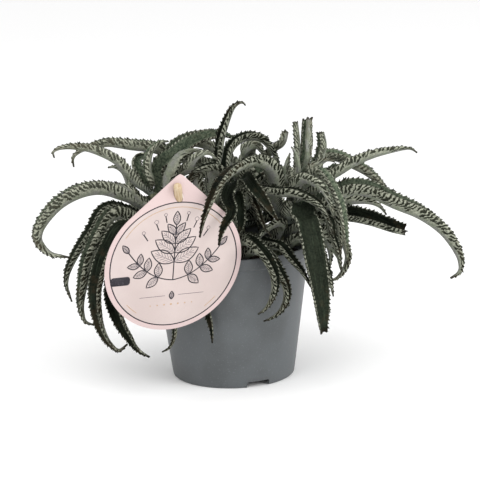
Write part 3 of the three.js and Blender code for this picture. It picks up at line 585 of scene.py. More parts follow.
def sprigDrawing(line, sprig):
    # a stem with pairs of leaves and a leaf at its end
    bold, fine = [([tuple(p) for p in line], False)], []
    path = np.array(line, float)
    last = len(path) - 1
    pairs = zip(sprig["stations"], sprig["lengths"], sprig["widths"], sprig["openings"])
    for share, length, width, opening in pairs:
        k = int(round(share * last))
        ahead = path[min(last, k + 1)] - path[max(0, k - 1)]
        heading = math.degrees(math.atan2(ahead[1], ahead[0]))
        for lane in (-1, 1):
            outline, marks = leafDrawing(path[k], heading + lane * opening, length, width)
            bold.append(outline)
            fine += marks
    ahead = path[-1] - path[-2]
    outline, marks = leafDrawing(path[-1], math.degrees(math.atan2(ahead[1], ahead[0])), *sprig["endLeaf"])
    return bold + [outline], fine + marks


def makePrint():
    p = printing
    plum = inkFinish("plumInk", "#2c292f", "#5f5c63")
    grey = inkFinish("greyInk", "#5f5a60", "#938a8e")
    tan = inkFinish("tanInk", "#c2a283", "#d8c1ab")
    upright = [(0, p["foot"] + p["step"] * k) for k in range(p["knots"])]
    bold, fine = sprigDrawing(upright, p["upright"])
    for lane in (-1, 1):
        bow = [(lane * (p["bowWidth"] * t), p["foot"] + p["step"] * t + p["bowRise"] * t ** p["bowPower"])
               for t in np.linspace(0, 1, p["knots"])]
        outlines, marks = sprigDrawing(bow, p["bowed"])
        bold += outlines
        fine += marks
    for lane in (-1, 1):
        for x, y, size in p["flowers"]:
            ring = [(lane * x + size * a, y + size * b) for a, b in arc(1, 0, 330, 11)]
            fine.append((ring, True))
            stalk = [(lane * x, y - size), (lane * x * p["stalkLean"], y - size - p["stalk"])]
            bold.append((stalk, False))
        fine.append(([(lane * p["ruleFrom"], p["rule"]), (lane * p["ruleTo"], p["rule"])], False))
    outline, marks = leafDrawing((0, p["rule"] - p["bud"][0] / 2), 90, *p["bud"])
    bold.append(outline)
    inkStrokes("printedRing", [(arc(p["ringRadius"], 0, 357, 119), True)], p["ringWidth"], plum)
    inkStrokes("printedSprigs", bold, p["boldWidth"], plum)
    inkStrokes("printedHatching", fine + marks, p["fineWidth"], grey)
    arcs = [(arc(p["tanRadius"], *span), False) for span in p["tanArcs"]]
    inkStrokes("printedArcs", arcs, p["tanWidth"], tan)
    tab = bmesh.new()
    bmesh.ops.create_cube(tab, size=1)
    bmesh.ops.scale(tab, vec=(*p["tabSize"], 1), verts=tab.verts)
    posts = [e for e in tab.edges if abs(e.verts[0].co.z - e.verts[1].co.z) > 0.5]
    roundEdges(tab, posts, p["tabCorner"], 6)
    bmesh.ops.translate(tab, vec=(*p["tab"], 0), verts=tab.verts)
    printOnCard("printedTab", tab, plum)
    dots = bmesh.new()
    for k in range(-3, 4):
        place = Matrix.Translation((k * p["dotStep"], p["dots"], 0))
        addRod(dots, p["dotSize"] - p["dotShrink"] * abs(k), 1, 16, place)
    printOnCard("printedDots", dots, tan)


def dowelWood():
    finish = Finish("dowelWood", 0.58, gloss=0.3)
    grain = finish.cloud(finish.place(scale=(1, 1, 14), turn=stakeTurn.to_euler()), 900, detail=4)
    wash = finish.cloud(finish.place(), 120, detail=2)
    shade = finish.tint("#c8b597", "#ae926e", grain, 0.35, 0.7)
    shade = finish.tint(shade, "#d3c3a7", wash, 0.45, 0.8, 0, 0.4)
    return finish.show(shade, None, grain, 0.0001)


def makeStake():
    bm = bmesh.new()
    length = float(np.linalg.norm(stakeTip - stakeFoot)) + stake["dome"]
    addRod(bm, stake["radius"], length, stake["steps"], Matrix.Translation((0, 0, length / 2)))
    rim = [e for e in bm.edges if all(v.co.z > length - mergeReach for v in e.verts)]
    roundEdges(bm, rim, stake["rounding"], 7)
    bmesh.ops.transform(bm, matrix=Matrix.Translation(stakeFoot) @ stakeTurn, verts=bm.verts)
    markSharp(makePiece("labelStake", bm, [dowelWood()], ["label_stake"]), stake["crisp"])


# where the leaves run

stemRadius = 3.6
stemLines = dict(
    left=[(-25, -6, 62), (-34, -8, 98), (-57, -10, 141)],
    middle=[(-2, -16, 62), (-6, -22, 108), (-5, -22, 152)],
    right=[(28, -8, 62), (36, -12, 105), (51, -10, 150)],
    back=[(6, 24, 62), (8, 32, 108), (12, 38, 152)],
)
# a leaf's section and outline; petiole and tipWidth are shares of its width, widest one of its length
blade = dict(
    fold=57, thickness=3.2, thinnest=0.7, thickening=0.34, drop=0.42,
    petiole=0.55, widest=0.28, taper=2.8, tipWidth=0.24,
)
# how leaves that would meet are eased apart, by beads at stations along each of them
easing = dict(
    stations=20, passes=70, clear=0.8, rimClear=2.4, rimInset=6, rimReach=2, labelClear=1.6, labelReach=12,
    rootFree=0.04, stiffRoot=0.3, restore=0.02, lane=0.66, lift=0.4, beadShare=0.38, beadLeast=0.7,
    stemBeads=25, stakeBeads=40, meetReach=6, smoothings=2,
)


def leafRow(stem, at, half, through, **more):
    # one leaf: how far up its stem it grows, half its width, and the points that it runs through
    # cut: the share left of a broken leaf; front: it passes in front of the label
    # facing: the way that an upright leaf turns its back
    return dict(stem=stem, at=at, half=half, through=through, **more)


leafRows = [
    leafRow("left", 0.8, 11, [(-81, -16, 143), (-102, -24, 147), (-124, -32, 138), (-139, -36, 118),
        (-132, -38, 104), (-116, -39, 100)], roll=-14),
    leafRow("left", 0.56, 8, [(-86, -8, 130), (-103, -16, 112), (-115, -22, 95), (-121, -24, 78),
        (-117, -24, 62)], roll=-10),
    leafRow("left", 0.62, 10.5, [(-78, -26, 130), (-90, -36, 118), (-102, -42, 97), (-109, -44, 70),
        (-107, -44, 54), (-100, -43, 50)], roll=-16),
    leafRow("left", 0.5, 10.5, [(-75, -36, 124), (-89, -48, 107), (-96, -54, 79), (-95, -56, 54),
        (-87, -56, 38), (-80, -55, 36), (-76, -55, 40)], fold=46),
    leafRow("left", 0.43, 11, [(-73, -41, 108), (-85, -50, 80), (-81, -52, 55), (-72, -53, 37),
        (-62, -53, 29)], fold=34),
    leafRow("left", 0.97, 7, [(-71, -14, 154), (-81, -18, 167), (-97, -22, 176), (-112, -25, 179),
        (-122, -27, 178), (-126, -27, 175), (-125, -27, 171)], roll=-8),
    leafRow("left", 0.86, 7, [(-76, 6, 155), (-87, 8, 158), (-94, 9, 154)]),
    leafRow("left", 0.55, 6, [(-64, -30, 139), (-72, -36, 150), (-85, -38, 156)]),
    leafRow("left", 0.96, 7, [(-67, 0, 152), (-69, 2, 160), (-65, 6, 166), (-56, 9, 164)]),
    leafRow("left", 0.9, 10, [(-50, -6, 158), (-37, -4, 170), (-20, 0, 178), (-4, 6, 179), (7, 10, 174)],
        roll=12),
    leafRow("left", 0.72, 8.5, [(-44, -18, 153), (-33, -20, 167), (-20, -20, 174), (-8, -20, 171)]),
    leafRow("left", 0.4, 6, [(-53, -40, 95), (-44, -51, 69), (-40, -53, 43), (-42, -53, 33), (-50, -52, 27),
        (-58, -51, 29)]),
    leafRow("left", 0.93, 7, [(-48, 2, 153), (-42, 6, 169), (-29, 10, 177), (-15, 13, 179), (-1, 14, 176)]),
    leafRow("left", 0.85, 7, [(-43, -16, 151), (-35, -19, 162), (-25, -23, 170), (-14, -25, 172),
        (-7, -26, 166)]),
    leafRow("left", 1, 6, [(-58, -12, 146), (-59, -14, 159), (-57, -14, 171), (-49, -12, 178),
        (-42, -10, 178)], facing=20),
    leafRow("middle", 0.8, 9.5, [(-5, -36, 160), (-17, -44, 165), (-30, -48, 161)]),
    leafRow("middle", 1, 6, [(-8, -23, 162), (-6, -20, 177), (-2, -19, 190), (3, -17, 201),
        (7.5, -16, 205.5), (11.5, -15, 206), (13.5, -14, 203.5)], facing=34),
    leafRow("middle", 0.95, 7, [(1, -6, 170), (12, 0, 178), (25, 4, 176), (34, 4, 164), (39, 2, 148)],
        roll=48),
    leafRow("middle", 0.92, 6.5, [(2, -46, 153), (-2, -66, 146), (-5, -84, 133), (-9, -92, 114)], fold=38,
        front=True),
    leafRow("middle", 0.78, 6, [(5, -44, 146), (7, -56, 137), (8, -61, 125), (9, -62, 113)], fold=38),
    leafRow("middle", 0.9, 6.5, [(12, -36, 153), (22, -48, 145), (30, -55, 134), (38, -58, 122)], fold=40),
    leafRow("middle", 0.4, 6.5, [(-6, -38, 108), (-8, -53, 112), (-10.5, -62, 105), (-12.5, -63, 91),
        (-13.5, -59.5, 75), (-13.5, -58, 57), (-15, -58, 32)], fold=38),
    leafRow("middle", 0.44, 8.5, [(3, -48, 110), (14, -60, 111), (24, -66, 107), (31, -67, 93),
        (31, -67, 77), (23, -67, 63), (14, -67, 59)]),
    leafRow("middle", 0.38, 7.5, [(15, -52, 101), (28, -60, 97), (39, -58, 81), (40, -58, 67), (30, -61, 57),
        (18, -63, 54)]),
    leafRow("middle", 0.45, 7.5, [(17, -40, 110), (30, -50, 108), (42, -58, 100), (52, -60, 89),
        (58, -60, 76)]),
    leafRow("middle", 0.8, 8, [(24, -34, 147), (40, -42, 144), (56, -48, 140), (68, -50, 129),
        (75, -50, 112)], fold=50, roll=12),
    leafRow("middle", 0.52, 5, [(14, -38, 146), (18, -46, 138), (23, -50, 125), (26, -50, 114)]),
    leafRow("right", 0.55, 9, [(32, -30, 153), (21, -42, 168), (5, -60, 167), (-9, -83, 158),
        (-17, -95, 141), (-21, -101, 126)], fold=40, front=True),
    leafRow("right", 1, 4.4, [(51, -12, 162), (50, -12, 177), (49, -12, 192)], cut=0.7, facing=0),
    leafRow("right", 1, 4, [(54, -6, 164), (55, -6, 177), (56, -6, 192)], cut=0.7, facing=120),
    leafRow("right", 1, 4, [(56, -14, 164), (58, -15, 179), (59, -16, 195)], cut=0.7, facing=240),
    leafRow("right", 0.97, 7, [(61, 2, 161), (63, 4, 170), (61, 5, 180)], facing=40),
    leafRow("right", 0.98, 3.5, [(50, -20, 162), (48, -22, 171), (44, -24, 176)]),
    leafRow("right", 0.9, 7, [(64, 2, 161), (66, 4, 171), (67, 4, 185)], cut=0.75),
    leafRow("right", 0.86, 8.5, [(67, 8, 160), (79, 12, 160), (91, 14, 154), (105, 15, 145), (116, 15, 133),
        (121, 13, 121)], roll=22),
    leafRow("right", 0.82, 7.5, [(68, -10, 147), (79, -12, 153), (90, -13, 160), (106, -13, 166),
        (123, -13, 169), (133, -13, 169), (138, -13, 165)], roll=8),
    leafRow("right", 0.92, 4.5, [(58, -18, 157), (65, -20, 162), (72, -22, 164), (78, -24, 162)]),
    leafRow("right", 0.68, 13, [(68, -12, 135), (82, -16, 142), (101, -18, 140), (121, -20, 131),
        (140, -20, 122), (156, -20, 109), (166, -20, 93), (168, -20, 80), (161, -20, 73)], fold=50, roll=-14,
        twist=34),
    leafRow("right", 0.52, 12, [(70, 4, 118), (87, 6, 116), (104, 6, 112), (120, 6, 106), (130, 6, 103)],
        fold=45, cut=0.78, roll=-18),
    leafRow("right", 0.6, 8, [(82, 18, 123), (102, 24, 123), (114, 25, 118), (120, 25, 107)]),
    leafRow("right", 0.86, 7, [(58, -28, 151), (64, -34, 158), (72, -42, 150), (79, -48, 135),
        (82, -50, 114), (84, -50, 94)]),
    leafRow("right", 0.6, 11, [(51, -36, 139), (53, -50, 132), (56, -60, 120), (59, -65, 102), (63, -66, 75),
        (65, -64, 49.5)], fold=32, cut=0.92),
    leafRow("right", 0.42, 6, [(73, -14, 113), (85, -16, 96), (84, -18, 83), (76, -20, 74), (68, -22, 75)]),
    leafRow("right", 0.4, 7, [(59, -34, 107), (67, -42, 93), (72, -43, 77), (74, -42, 64)]),
    leafRow("right", 0.78, 7.5, [(48, -36, 147), (55, -42, 154), (65, -50, 152), (71, -55, 142),
        (74, -56, 128)]),
    leafRow("right", 0.7, 6.5, [(67, -30, 132), (74, -32, 126), (77, -33, 114), (79, -33, 99),
        (80, -33, 89)], fold=45),
    leafRow("right", 0.42, 7, [(65, -2, 110), (73, -4, 98), (79, -4, 88), (81, -4, 78)]),
    leafRow("right", 0.38, 6, [(39, -28, 120), (30, -38, 120), (23, -46, 114), (20, -54, 107)]),
    leafRow("back", 0.85, 9.5, [(-29, 22, 159), (-48, 14, 167), (-68, 10, 171), (-87, 8, 175),
        (-103, 6, 172), (-112, 4, 168), (-115, 4, 162), (-114, 4, 158)], roll=-6),
    leafRow("back", 0.9, 6, [(25, 24, 156), (33, 16, 166), (40, 12, 171), (43, 12, 181)], cut=0.75),
    leafRow("back", 0.8, 8, [(-1, 28, 152), (-11, 22, 165), (-23, 18, 171), (-36, 16, 169), (-45, 14, 161)]),
    leafRow("back", 0.94, 9, [(12, 22, 160), (17, 18, 167), (23, 15, 168), (28, 12, 160)]),
    leafRow("back", 0.62, 7, [(11, 6, 137), (16, -3, 132), (20, -9, 122), (21, -13, 110)]),
    leafRow("middle", 0.66, 7.5, [(-10, -32, 155), (-17, -35, 159), (-25, -38, 157), (-31, -40, 148)]),
    leafRow("middle", 0.6, 6.5, [(22, -22, 149), (31, -22, 150), (38, -23, 144), (42, -25, 134)]),
    leafRow("right", 0.76, 6, [(66, -3, 151), (74, -4, 156), (81, -5, 155), (86, -6, 149)]),
    leafRow("right", 0.93, 4.5, [(44, -14, 157), (44, -14, 165), (47, -14, 171)]),
    leafRow("right", 0.5, 6.5, [(69, -34, 126), (75, -36, 111), (78, -37, 97), (80, -38, 84)]),
    leafRow("back", 0.66, 9, [(2, 24, 141), (-10, 18, 148), (-22, 12, 149), (-33, 8, 142), (-41, 5, 131)]),
    leafRow("back", 0.56, 8, [(20, 18, 124), (26, 9, 128), (30, 2, 122), (32, -3, 110)]),
    leafRow("back", 0.76, 8, [(25, 22, 147), (35, 15, 150), (42, 9, 143), (45, 5, 131)]),
    leafRow("back", 0.7, 10, [(13, 26, 141), (18, 18, 151), (24, 12, 146), (30, 9, 129), (32, 7, 108)]),
]
# short leaves that fill the crowns, spread between two headings and two heights up the stem
fans = [
    dict(stem="back", count=6, turn=(15, 165), at=(0.4, 0.6), rise=16, length=115),
    dict(stem="back", count=5, turn=(35, 150), at=(0.7, 0.92), rise=16, length=135),
    dict(stem="left", count=4, turn=(95, 175), at=(0.42, 0.8), rise=12, length=110),
    dict(stem="right", count=4, turn=(35, 95), at=(0.42, 0.8), rise=12, length=105),
    dict(stem="middle", count=3, turn=(15, 150), at=(0.4, 0.6), rise=22, length=75),
]
fanRule = dict(
    seed=20, headingSpread=14, stagger=0.618, firstStep=0.3, shortest=0.72, riseSpread=12,
    droop=120, droopSpread=40, lateness=1.25, steps=5, half=4.5, widening=0.04,
)


def smooth(x, low, high):
    t = np.clip((x - low) / (high - low), 0, 1)
    return t * t * (3 - 2 * t)


def unit(v):
    return v / np.linalg.norm(v, axis=-1, keepdims=True)


def alongCurve(points, shares):
    # Catmull-Rom through the points, its ends carried on straight
    points = np.asarray(points, float)
    spans = len(points) - 1
    padded = np.vstack([2 * points[0] - points[1], points, 2 * points[-1] - points[-2]])
    place = np.clip(np.asarray(shares, float) * spans, 0, spans)
    span = np.minimum(place.astype(int), spans - 1)
    t = (place - span)[:, None]
    a, b, c, d = (padded[span + k] for k in range(4))
    leave, reach = (c - a) / 2, (d - b) / 2
    return b + leave * t + (3 * (c - b) - 2 * leave - reach) * t**2 + (2 * (b - c) + leave + reach) * t**3


def evenShares(points, shares):
    # the shares of the curve's span count that lie at even lengths along it
    steps = np.linspace(0, 1, 201)
    line = alongCurve(points, steps)
    lengths = np.concatenate([[0], np.cumsum(np.linalg.norm(np.diff(line, axis=0), axis=1))])
    return np.interp(np.asarray(shares) * lengths[-1], lengths, steps), lengths[-1]


def evenPoints(line, count):
    shares, _ = evenShares(line, np.linspace(0, 1, count))
    return alongCurve(line, shares)


def stemPoint(stem, at):
    share, _ = evenShares(stemLines[stem], [at])
    return alongCurve(stemLines[stem], share)[0]


def makeDraw(state):
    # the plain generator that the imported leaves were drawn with
    def draw():
        nonlocal state
        state = state * 16807 % 2147483647
        return state / 2147483647
    return draw


def fanRows():
    rule = fanRule
    draw = makeDraw(rule["seed"])
    rows = []
    for fan in fans:
        for k in range(fan["count"]):
            share = (k + 0.5) / fan["count"]
            sway = (draw() - 0.5) * rule["headingSpread"]
            heading = math.radians(fan["turn"][0] + (fan["turn"][1] - fan["turn"][0]) * share + sway)
            climb = (k * rule["stagger"] + rule["firstStep"]) % 1
            at = fan["at"][0] + (fan["at"][1] - fan["at"][0]) * climb
            length = fan["length"] * (rule["shortest"] + (1 - rule["shortest"]) * draw())
            rise = math.radians(fan["rise"] + rule["riseSpread"] * draw())
            droop = math.radians(rule["droop"] + rule["droopSpread"] * draw())
            run = length / rule["steps"]
            through = [stemPoint(fan["stem"], at)]
            for i in range(rule["steps"]):
                slope = rise - droop * ((i + 0.5) / rule["steps"]) ** rule["lateness"]
                flat = math.cos(slope)
                way = np.array([flat * math.cos(heading), flat * math.sin(heading), math.sin(slope)])
                through.append(through[-1] + run * way)
            half = rule["half"] + rule["widening"] * length
            rows.append(leafRow(fan["stem"], at, half, through[1:]))
    return rows


def widthAt(s):
    # the width of a leaf along it, as a share of its widest
    s = np.asarray(s, float)
    opening = blade["petiole"] + (1 - blade["petiole"]) * smooth(s, 0, blade["widest"])
    t = np.clip((s - blade["widest"]) / (1 - blade["widest"]), 0, 1)
    return np.where(s < blade["widest"], opening, np.maximum(blade["tipWidth"], 1 - t ** blade["taper"]))


def framesAlong(points, side, twist=0.0):
    # directions along, across and out of the gutter; points has one row of stations for each leaf
    step = -np.reshape(twist, (-1, 1)) / (points.shape[1] - 1)
    ahead = np.concatenate([points[:, 1:], points[:, -1:]], axis=1)
    behind = np.concatenate([points[:, :1], points[:, :-1]], axis=1)
    along = unit(ahead - behind)
    across = np.empty_like(points)
    last = side
    for i in range(points.shape[1]):
        way = along[:, i]
        last = unit(last - way * np.sum(last * way, axis=1, keepdims=True))
        if i > 0:
            last = last * np.cos(step) + np.cross(way, last) * np.sin(step)
        across[:, i] = last
    return along, across, np.cross(across, along)


def layLeaves():
    stations = np.linspace(0, 1, easing["stations"] + 1)
    leaves = []
    for row in leafRows + fanRows():
        root = stemPoint(row["stem"], row["at"])
        line = [root, *row["through"]]
        shares, length = evenShares(line, stations)
        way = np.subtract(row["through"][0], root)
        heading = math.radians(row["facing"]) if "facing" in row else math.atan2(way[1], way[0])
        roll = math.radians(row.get("roll", 0))
        side = [math.sin(heading) * math.cos(roll), -math.cos(heading) * math.cos(roll), math.sin(roll)]
        leaves.append(dict(
            row, points=alongCurve(line, shares), length=length, cut=row.get("cut", 1), side=np.array(side),
            fold=math.radians(row.get("fold", blade["fold"])), twist=math.radians(row.get("twist", 0)),
        ))
    return leaves


def obstaclePush(at, radius, front):
    # how far each bead has to move to be clear of the pot, the soil, the label and the floor
    push = np.zeros_like(at)
    keep = radius + easing["clear"]
    far = np.hypot(at[..., 0], at[..., 1])
    high = at[..., 2]
    overSoil = far < pot["rimRadius"] - easing["rimInset"]
    ceiling = np.where(overSoil, soil["top"] + soil["bump"], pot["height"])
    besideRim = high > pot["height"] - pot["rimBand"] - easing["rimReach"]
    wallRadius = np.where(besideRim, pot["rimRadius"], potOuterAt(np.maximum(high, 0)))
    upward = ceiling + keep + easing["rimClear"] - high
    outward = wallRadius + keep + easing["rimClear"] - far
    inPot = (upward > 0) & (outward > 0)
    push[..., 2] += np.where(inPot & (upward < outward), upward, 0)
    sideways = np.where(inPot & (upward >= outward), outward, 0)
    push[..., 0] += at[..., 0] / far * sideways
    push[..., 1] += at[..., 1] / far * sideways
    push[..., 2] += np.maximum(keep - high, 0)
    offset = at - np.array(label["centre"])
    across, up, depth = offset @ labelRight, offset @ labelUp, offset @ labelFront
    inDisc = np.hypot(across, up) < label["radius"] + keep
    pointHalf = (label["apex"] - up) * label["pointSpread"] + keep
    inPoint = (up > label["shoulder"]) & (up < label["apex"] + keep) & (np.abs(across) < pointHalf)
    inFront = keep + label["thickness"] + easing["labelClear"]
    behind = -keep - easing["labelClear"]
    forward = front & (depth < inFront) & (depth > -easing["labelReach"])
    backward = ~front & (depth > behind) & (depth < easing["labelReach"])
    move = np.where(forward, inFront - depth, np.where(backward, behind - depth, 0))
    push += labelFront * np.where(inDisc | inPoint, move, 0)[..., None]
    return push


def postsAround():
    # for the leaves of each stem: beads along the other stems and the stake, and their radii
    stems = {name: evenPoints(line, easing["stemBeads"]) for name, line in stemLines.items()}
    stakeBeads = stakeFoot + (stakeTip - stakeFoot) * np.linspace(0, 1, easing["stakeBeads"])[:, None]
    posts = {}
    for name in stems:
        others = np.vstack([beads for other, beads in stems.items() if other != name])
        radii = [stemRadius + gap] * len(others) + [stake["radius"] + gap] * len(stakeBeads)
        posts[name] = np.vstack([others, stakeBeads]), np.array(radii)
    return posts


def addPush(total, hits, leaf, station, way):
    np.add.at(total, (leaf, station), way)
    np.add.at(hits, (leaf, station), 1)


def easeApart(leaves):
    # leaves that would run through each other, or through anything else, are bent clear
    count, last = len(leaves), easing["stations"]
    points = np.array([leaf["points"] for leaf in leaves])
    rest = points.copy()
    step = np.array([leaf["length"] for leaf in leaves]) / last
    side = np.array([leaf["side"] for leaf in leaves])
    twist = np.array([leaf["twist"] for leaf in leaves])
    fold = np.array([leaf["fold"] for leaf in leaves])[:, None, None, None]
    front = np.array([leaf.get("front", False) for leaf in leaves])[:, None]
    share = np.arange(last + 1) / last
    give = smooth(share, easing["rootFree"], easing["stiffRoot"])
    half = np.array([leaf["half"] * widthAt(share * leaf["cut"]) for leaf in leaves])
    lanes = np.array([-1, 0, 1]) * easing["lane"]
    across = lanes[:, None] * half[:, :, None, None] * np.cos(fold)
    lift = (np.abs(lanes) - easing["lift"])[:, None] * half[:, :, None, None] * np.sin(fold)
    radius = np.repeat(easing["beadShare"] * half + easing["beadLeast"], len(lanes), axis=1)
    beadGive = np.repeat(give, len(lanes))
    station = np.repeat(np.arange(last + 1), len(lanes))
    posts = postsAround()
    for _ in range(easing["passes"]):
        _, crossways, out = framesAlong(points, side, twist)
        beads = points[:, :, None] + crossways[:, :, None] * across + out[:, :, None] * lift
        beads = beads.reshape(count, -1, 3)
        total = np.zeros((count, last + 1, 3))
        hits = np.zeros((count, last + 1))
        away = obstaclePush(beads, radius, front)
        leaf, bead = np.nonzero((np.sum(away**2, axis=2) > 0) & (beadGive > 0))
        addPush(total, hits, leaf, station[bead], away[leaf, bead])
        for a in range(count):
            places, radii = posts[leaves[a]["stem"]]
            between = beads[a][:, None] - places
            span = np.linalg.norm(between, axis=2)
            overlap = radius[a][:, None] + radii + easing["clear"] - span
            bead, post = np.nonzero((overlap > 0) & (beadGive > 0)[:, None])
            way = between[bead, post] / span[bead, post][:, None] * overlap[bead, post][:, None]
            addPush(total, hits, a, station[bead], way)
        low, high = beads.min(axis=1) - easing["meetReach"], beads.max(axis=1) + easing["meetReach"]
        meet = np.all((low[:, None] <= high) & (low <= high[:, None]), axis=2)
        for a, b in zip(*np.nonzero(np.triu(meet, 1))):
            between = beads[a][:, None] - beads[b]
            span = np.sqrt(np.einsum("ijk,ijk->ij", between, between))
            overlap = radius[a][:, None] + radius[b] + easing["clear"] - span
            both = beadGive[:, None] + beadGive
            p, q = np.nonzero((overlap > 0) & (both > 0))
            if not len(p):
                continue
            way = between[p, q] / span[p, q][:, None] * (overlap[p, q] / both[p, q])[:, None]
            for leaf, bead, shove in ((a, p, way), (b, q, -way)):
                free = beadGive[bead] > 0
                addPush(total, hits, leaf, station[bead[free]], (shove * beadGive[bead][:, None])[free])
        moves = total / np.maximum(hits, 1)[:, :, None]
        for _ in range(easing["smoothings"]):
            before = np.concatenate([moves[:, :1], moves[:, :-1]], axis=1)
            after = np.concatenate([moves[:, 1:], moves[:, -1:]], axis=1)
            moves = (2 * moves + before + after) / 4
        points = points + moves * give[:, None]
        points = points + (rest - points) * (easing["restore"] * give)[:, None]
        for i in range(1, last + 1):
            points[:, i] = points[:, i - 1] + unit(points[:, i] - points[:, i - 1]) * step[:, None]
    for leaf, line in zip(leaves, points):
        leaf["points"] = line


# the leaves' finish

def leafSkin():
    finish = Finish("leafSkin", 0.5, gloss=0.02)
    where = finish.place()
    split = finish.add("SeparateXYZ", {"Vector": finish.add("UVMap", {}, uv_map="skin").outputs[0]})
    tooth, lap = split.outputs[0], split.outputs[1]
    toneAndShade, along, teeth = (finish.mark(name) for name in ("toneAndShade", "along", "teeth"))
    below = finish.work("GREATER_THAN", lap, 0.5)
    across = finish.times(finish.work("FRACT", finish.times(lap, 2)), 2, -1)
    inward = finish.work("SUBTRACT", 1, finish.work("ABSOLUTE", across))  # 0 at the margin, 1 at the rib
    wide = finish.cloud(where, 170, detail=2)
    close = finish.cloud(where, 650, detail=3)
    bars = darkBars(finish, lap, toneAndShade, along, teeth, inward, wide, close)
    under = underSide(finish, where, toneAndShade, along, inward, wide, close, bars)
    upper = upperSide(finish, tooth, lap, toneAndShade, along, wide, close)
    wavy = finish.times(finish.ease(close, 0.3, 0.7), 0.06, inward)
    shade = finish.blend(below, finish.tint(upper, under, wavy, 0.05, 0.13, 1, 0), under)
    point = finish.ease(finish.apart(finish.work("FRACT", tooth), 0.6), 0.12, 0.3, 1, 0)
    point = finish.times(point, finish.ease(inward, 0.02, 0.13, 0.92, 0))
    shade = finish.blend(finish.times(point, finish.ease(along, 0.02, 0.08)), shade, "#1b1e16")
    luck = finish.work("FRACT", finish.times(toneAndShade, 17))
    withered = finish.times(along, 0.55, finish.times(luck, 0.3, wide))
    shade = finish.tint(shade, "#453526", withered, 1.06, 1.24, 0, 0.28)
    shade = finish.tint(shade, "#1d1711", along, 0.955, 0.985, 0, 0.75)
    # painted shade: leaves low in the thicket are darkened and those high up lightened, with a random tone
    # for each leaf
    shade = finish.blend(1.0, shade, finish.times(toneAndShade, 0.48, 0.64), "MULTIPLY")
    roughness = finish.times(below, 0.12, finish.ease(close, 0.3, 0.7, 0.42, 0.52))
    height = finish.times(bars, -0.8, finish.times(close, 0.6))
    return finish.show(shade, roughness, height, 0.0003)


def underSide(finish, where, toneAndShade, along, inward, wide, close, bars):
    # pale, with a grey keel, a bluish root and dark bars
    pale = finish.tint("#888c7c", "#abae9c", close, 0.35, 0.65)
    pale = finish.tint(pale, "#bbbcaa", inward, 0.02, 0.3, 0.45, 0)
    keel = finish.tint("#7d7d7c", "#767e6c", wide, 0.35, 0.65)
    pale = finish.tint(pale, keel, inward, 0.45, 0.85, 0, 0.8)
    pale = finish.tint(pale, "#4e5344", finish.cloud(where, 1000, detail=2), 0.54, 0.66, 0, 0.45)
    pale = finish.tint(pale, "#7f8a86", along, 0.0, 0.2, 0.7, 0)
    dark = finish.tint("#0f120b", "#202319", wide, 0.35, 0.65)
    # the bars are fainter on leaves that get more painted light
    return finish.blend(finish.times(bars, finish.ease(toneAndShade, 0.55, 1.0, 0.97, 0.78)), pale, dark)


def upperSide(finish, tooth, lap, toneAndShade, along, wide, close):
    # deep green with fine streaks, lighter on the leaves that stand in the light
    grain = finish.join(finish.times(tooth, 0.22), finish.times(lap, 46), finish.times(toneAndShade, 90))
    deep = finish.tint("#0d100b", "#191d15", wide, 0.3, 0.7)
    deep = finish.tint(deep, "#3a4437", finish.cloud(grain, 1, detail=3), 0.45, 0.75, 0, 0.5)
    deep = finish.tint(deep, "#313d34", along, 0.0, 0.35, 0.5, 0)
    light = finish.tint("#465144", "#727c68", close, 0.35, 0.65)
    return finish.tint(deep, light, toneAndShade, 0.46, 0.84, 0, 0.9)


def darkBars(finish, lap, toneAndShade, along, teeth, inward, wide, close):
    # slanted bars, close and even near the root; farther out they are few, large and hooked
    near = finish.ease(along, 0.1, 0.42, 1, 0)
    fading = finish.work("EXPONENT", finish.times(along, -3.3))
    count = finish.times(along, 0.76, finish.times(fading, -0.24, 0.24))
    bend = finish.times(inward, finish.times(inward, 1.5, 0.9))
    run = finish.work("ADD", finish.times(count, teeth), bend)
    sway = finish.times(near, -0.34, 0.4)
    run = finish.times(finish.ease(wide, 0.3, 0.7, -1, 1), sway, run)
    run = finish.times(finish.ease(close, 0.3, 0.7, -0.3, 0.3), sway, run)
    nearest = finish.work("FLOOR", finish.work("ADD", run, 0.5))
    away = finish.apart(run, nearest)
    quarter = finish.work("FLOOR", finish.times(lap, 4))
    key = finish.join(nearest, finish.times(toneAndShade, 40, quarter))
    lot = finish.add("TexWhiteNoise", {"Vector": key}, noise_dimensions="2D").outputs["Value"]
    other = finish.work("FRACT", finish.times(lot, 7.3))
    reach = finish.times(lot, finish.times(near, -0.2, 0.46), finish.times(near, 0.2, 0.34))
    breadth = finish.times(other, finish.times(near, -0.1, 0.16), 0.2)
    beyond = finish.work("SUBTRACT", inward, reach)
    end = finish.work("ABSOLUTE", finish.work("ADD", beyond, 0.13))
    swell = finish.ease(end, 0.0, 0.13, finish.times(near, -0.45, 1.45), 1.0)
    thin = finish.ease(finish.times(inward, near), 0.15, 0.65, 1, 0.3)
    breadth = finish.times(breadth, finish.times(swell, thin))
    bar = finish.ease(finish.work("SUBTRACT", breadth, away), -0.05, 0.05)
    bar = finish.times(bar, finish.ease(beyond, -0.05, 0.05, 1, 0))
    rim = finish.ease(inward, 0.02, 0.08, 0.35, 1)
    bar = finish.times(bar, finish.work("MAXIMUM", rim, near))
    return finish.times(bar, finish.ease(along, 0.0, 0.05, 0.2, 1))


def budSkin():
    finish = Finish("budSkin", 0.5, gloss=0.06)
    toneAndShade = finish.mark("toneAndShade")
    # from dark to pale with each bud's random tone and the painted shade of its leaf
    shade = finish.tint("#1f231a", "#54584c", toneAndShade, 0.1, 0.75)
    shade = finish.tint(shade, "#85858a", toneAndShade, 0.75, 1.0)
    shade = finish.tint(shade, "#24241c", finish.cloud(finish.place(), 1100, detail=2), 0.5, 0.66, 0, 0.6)
    return finish.show(shade)


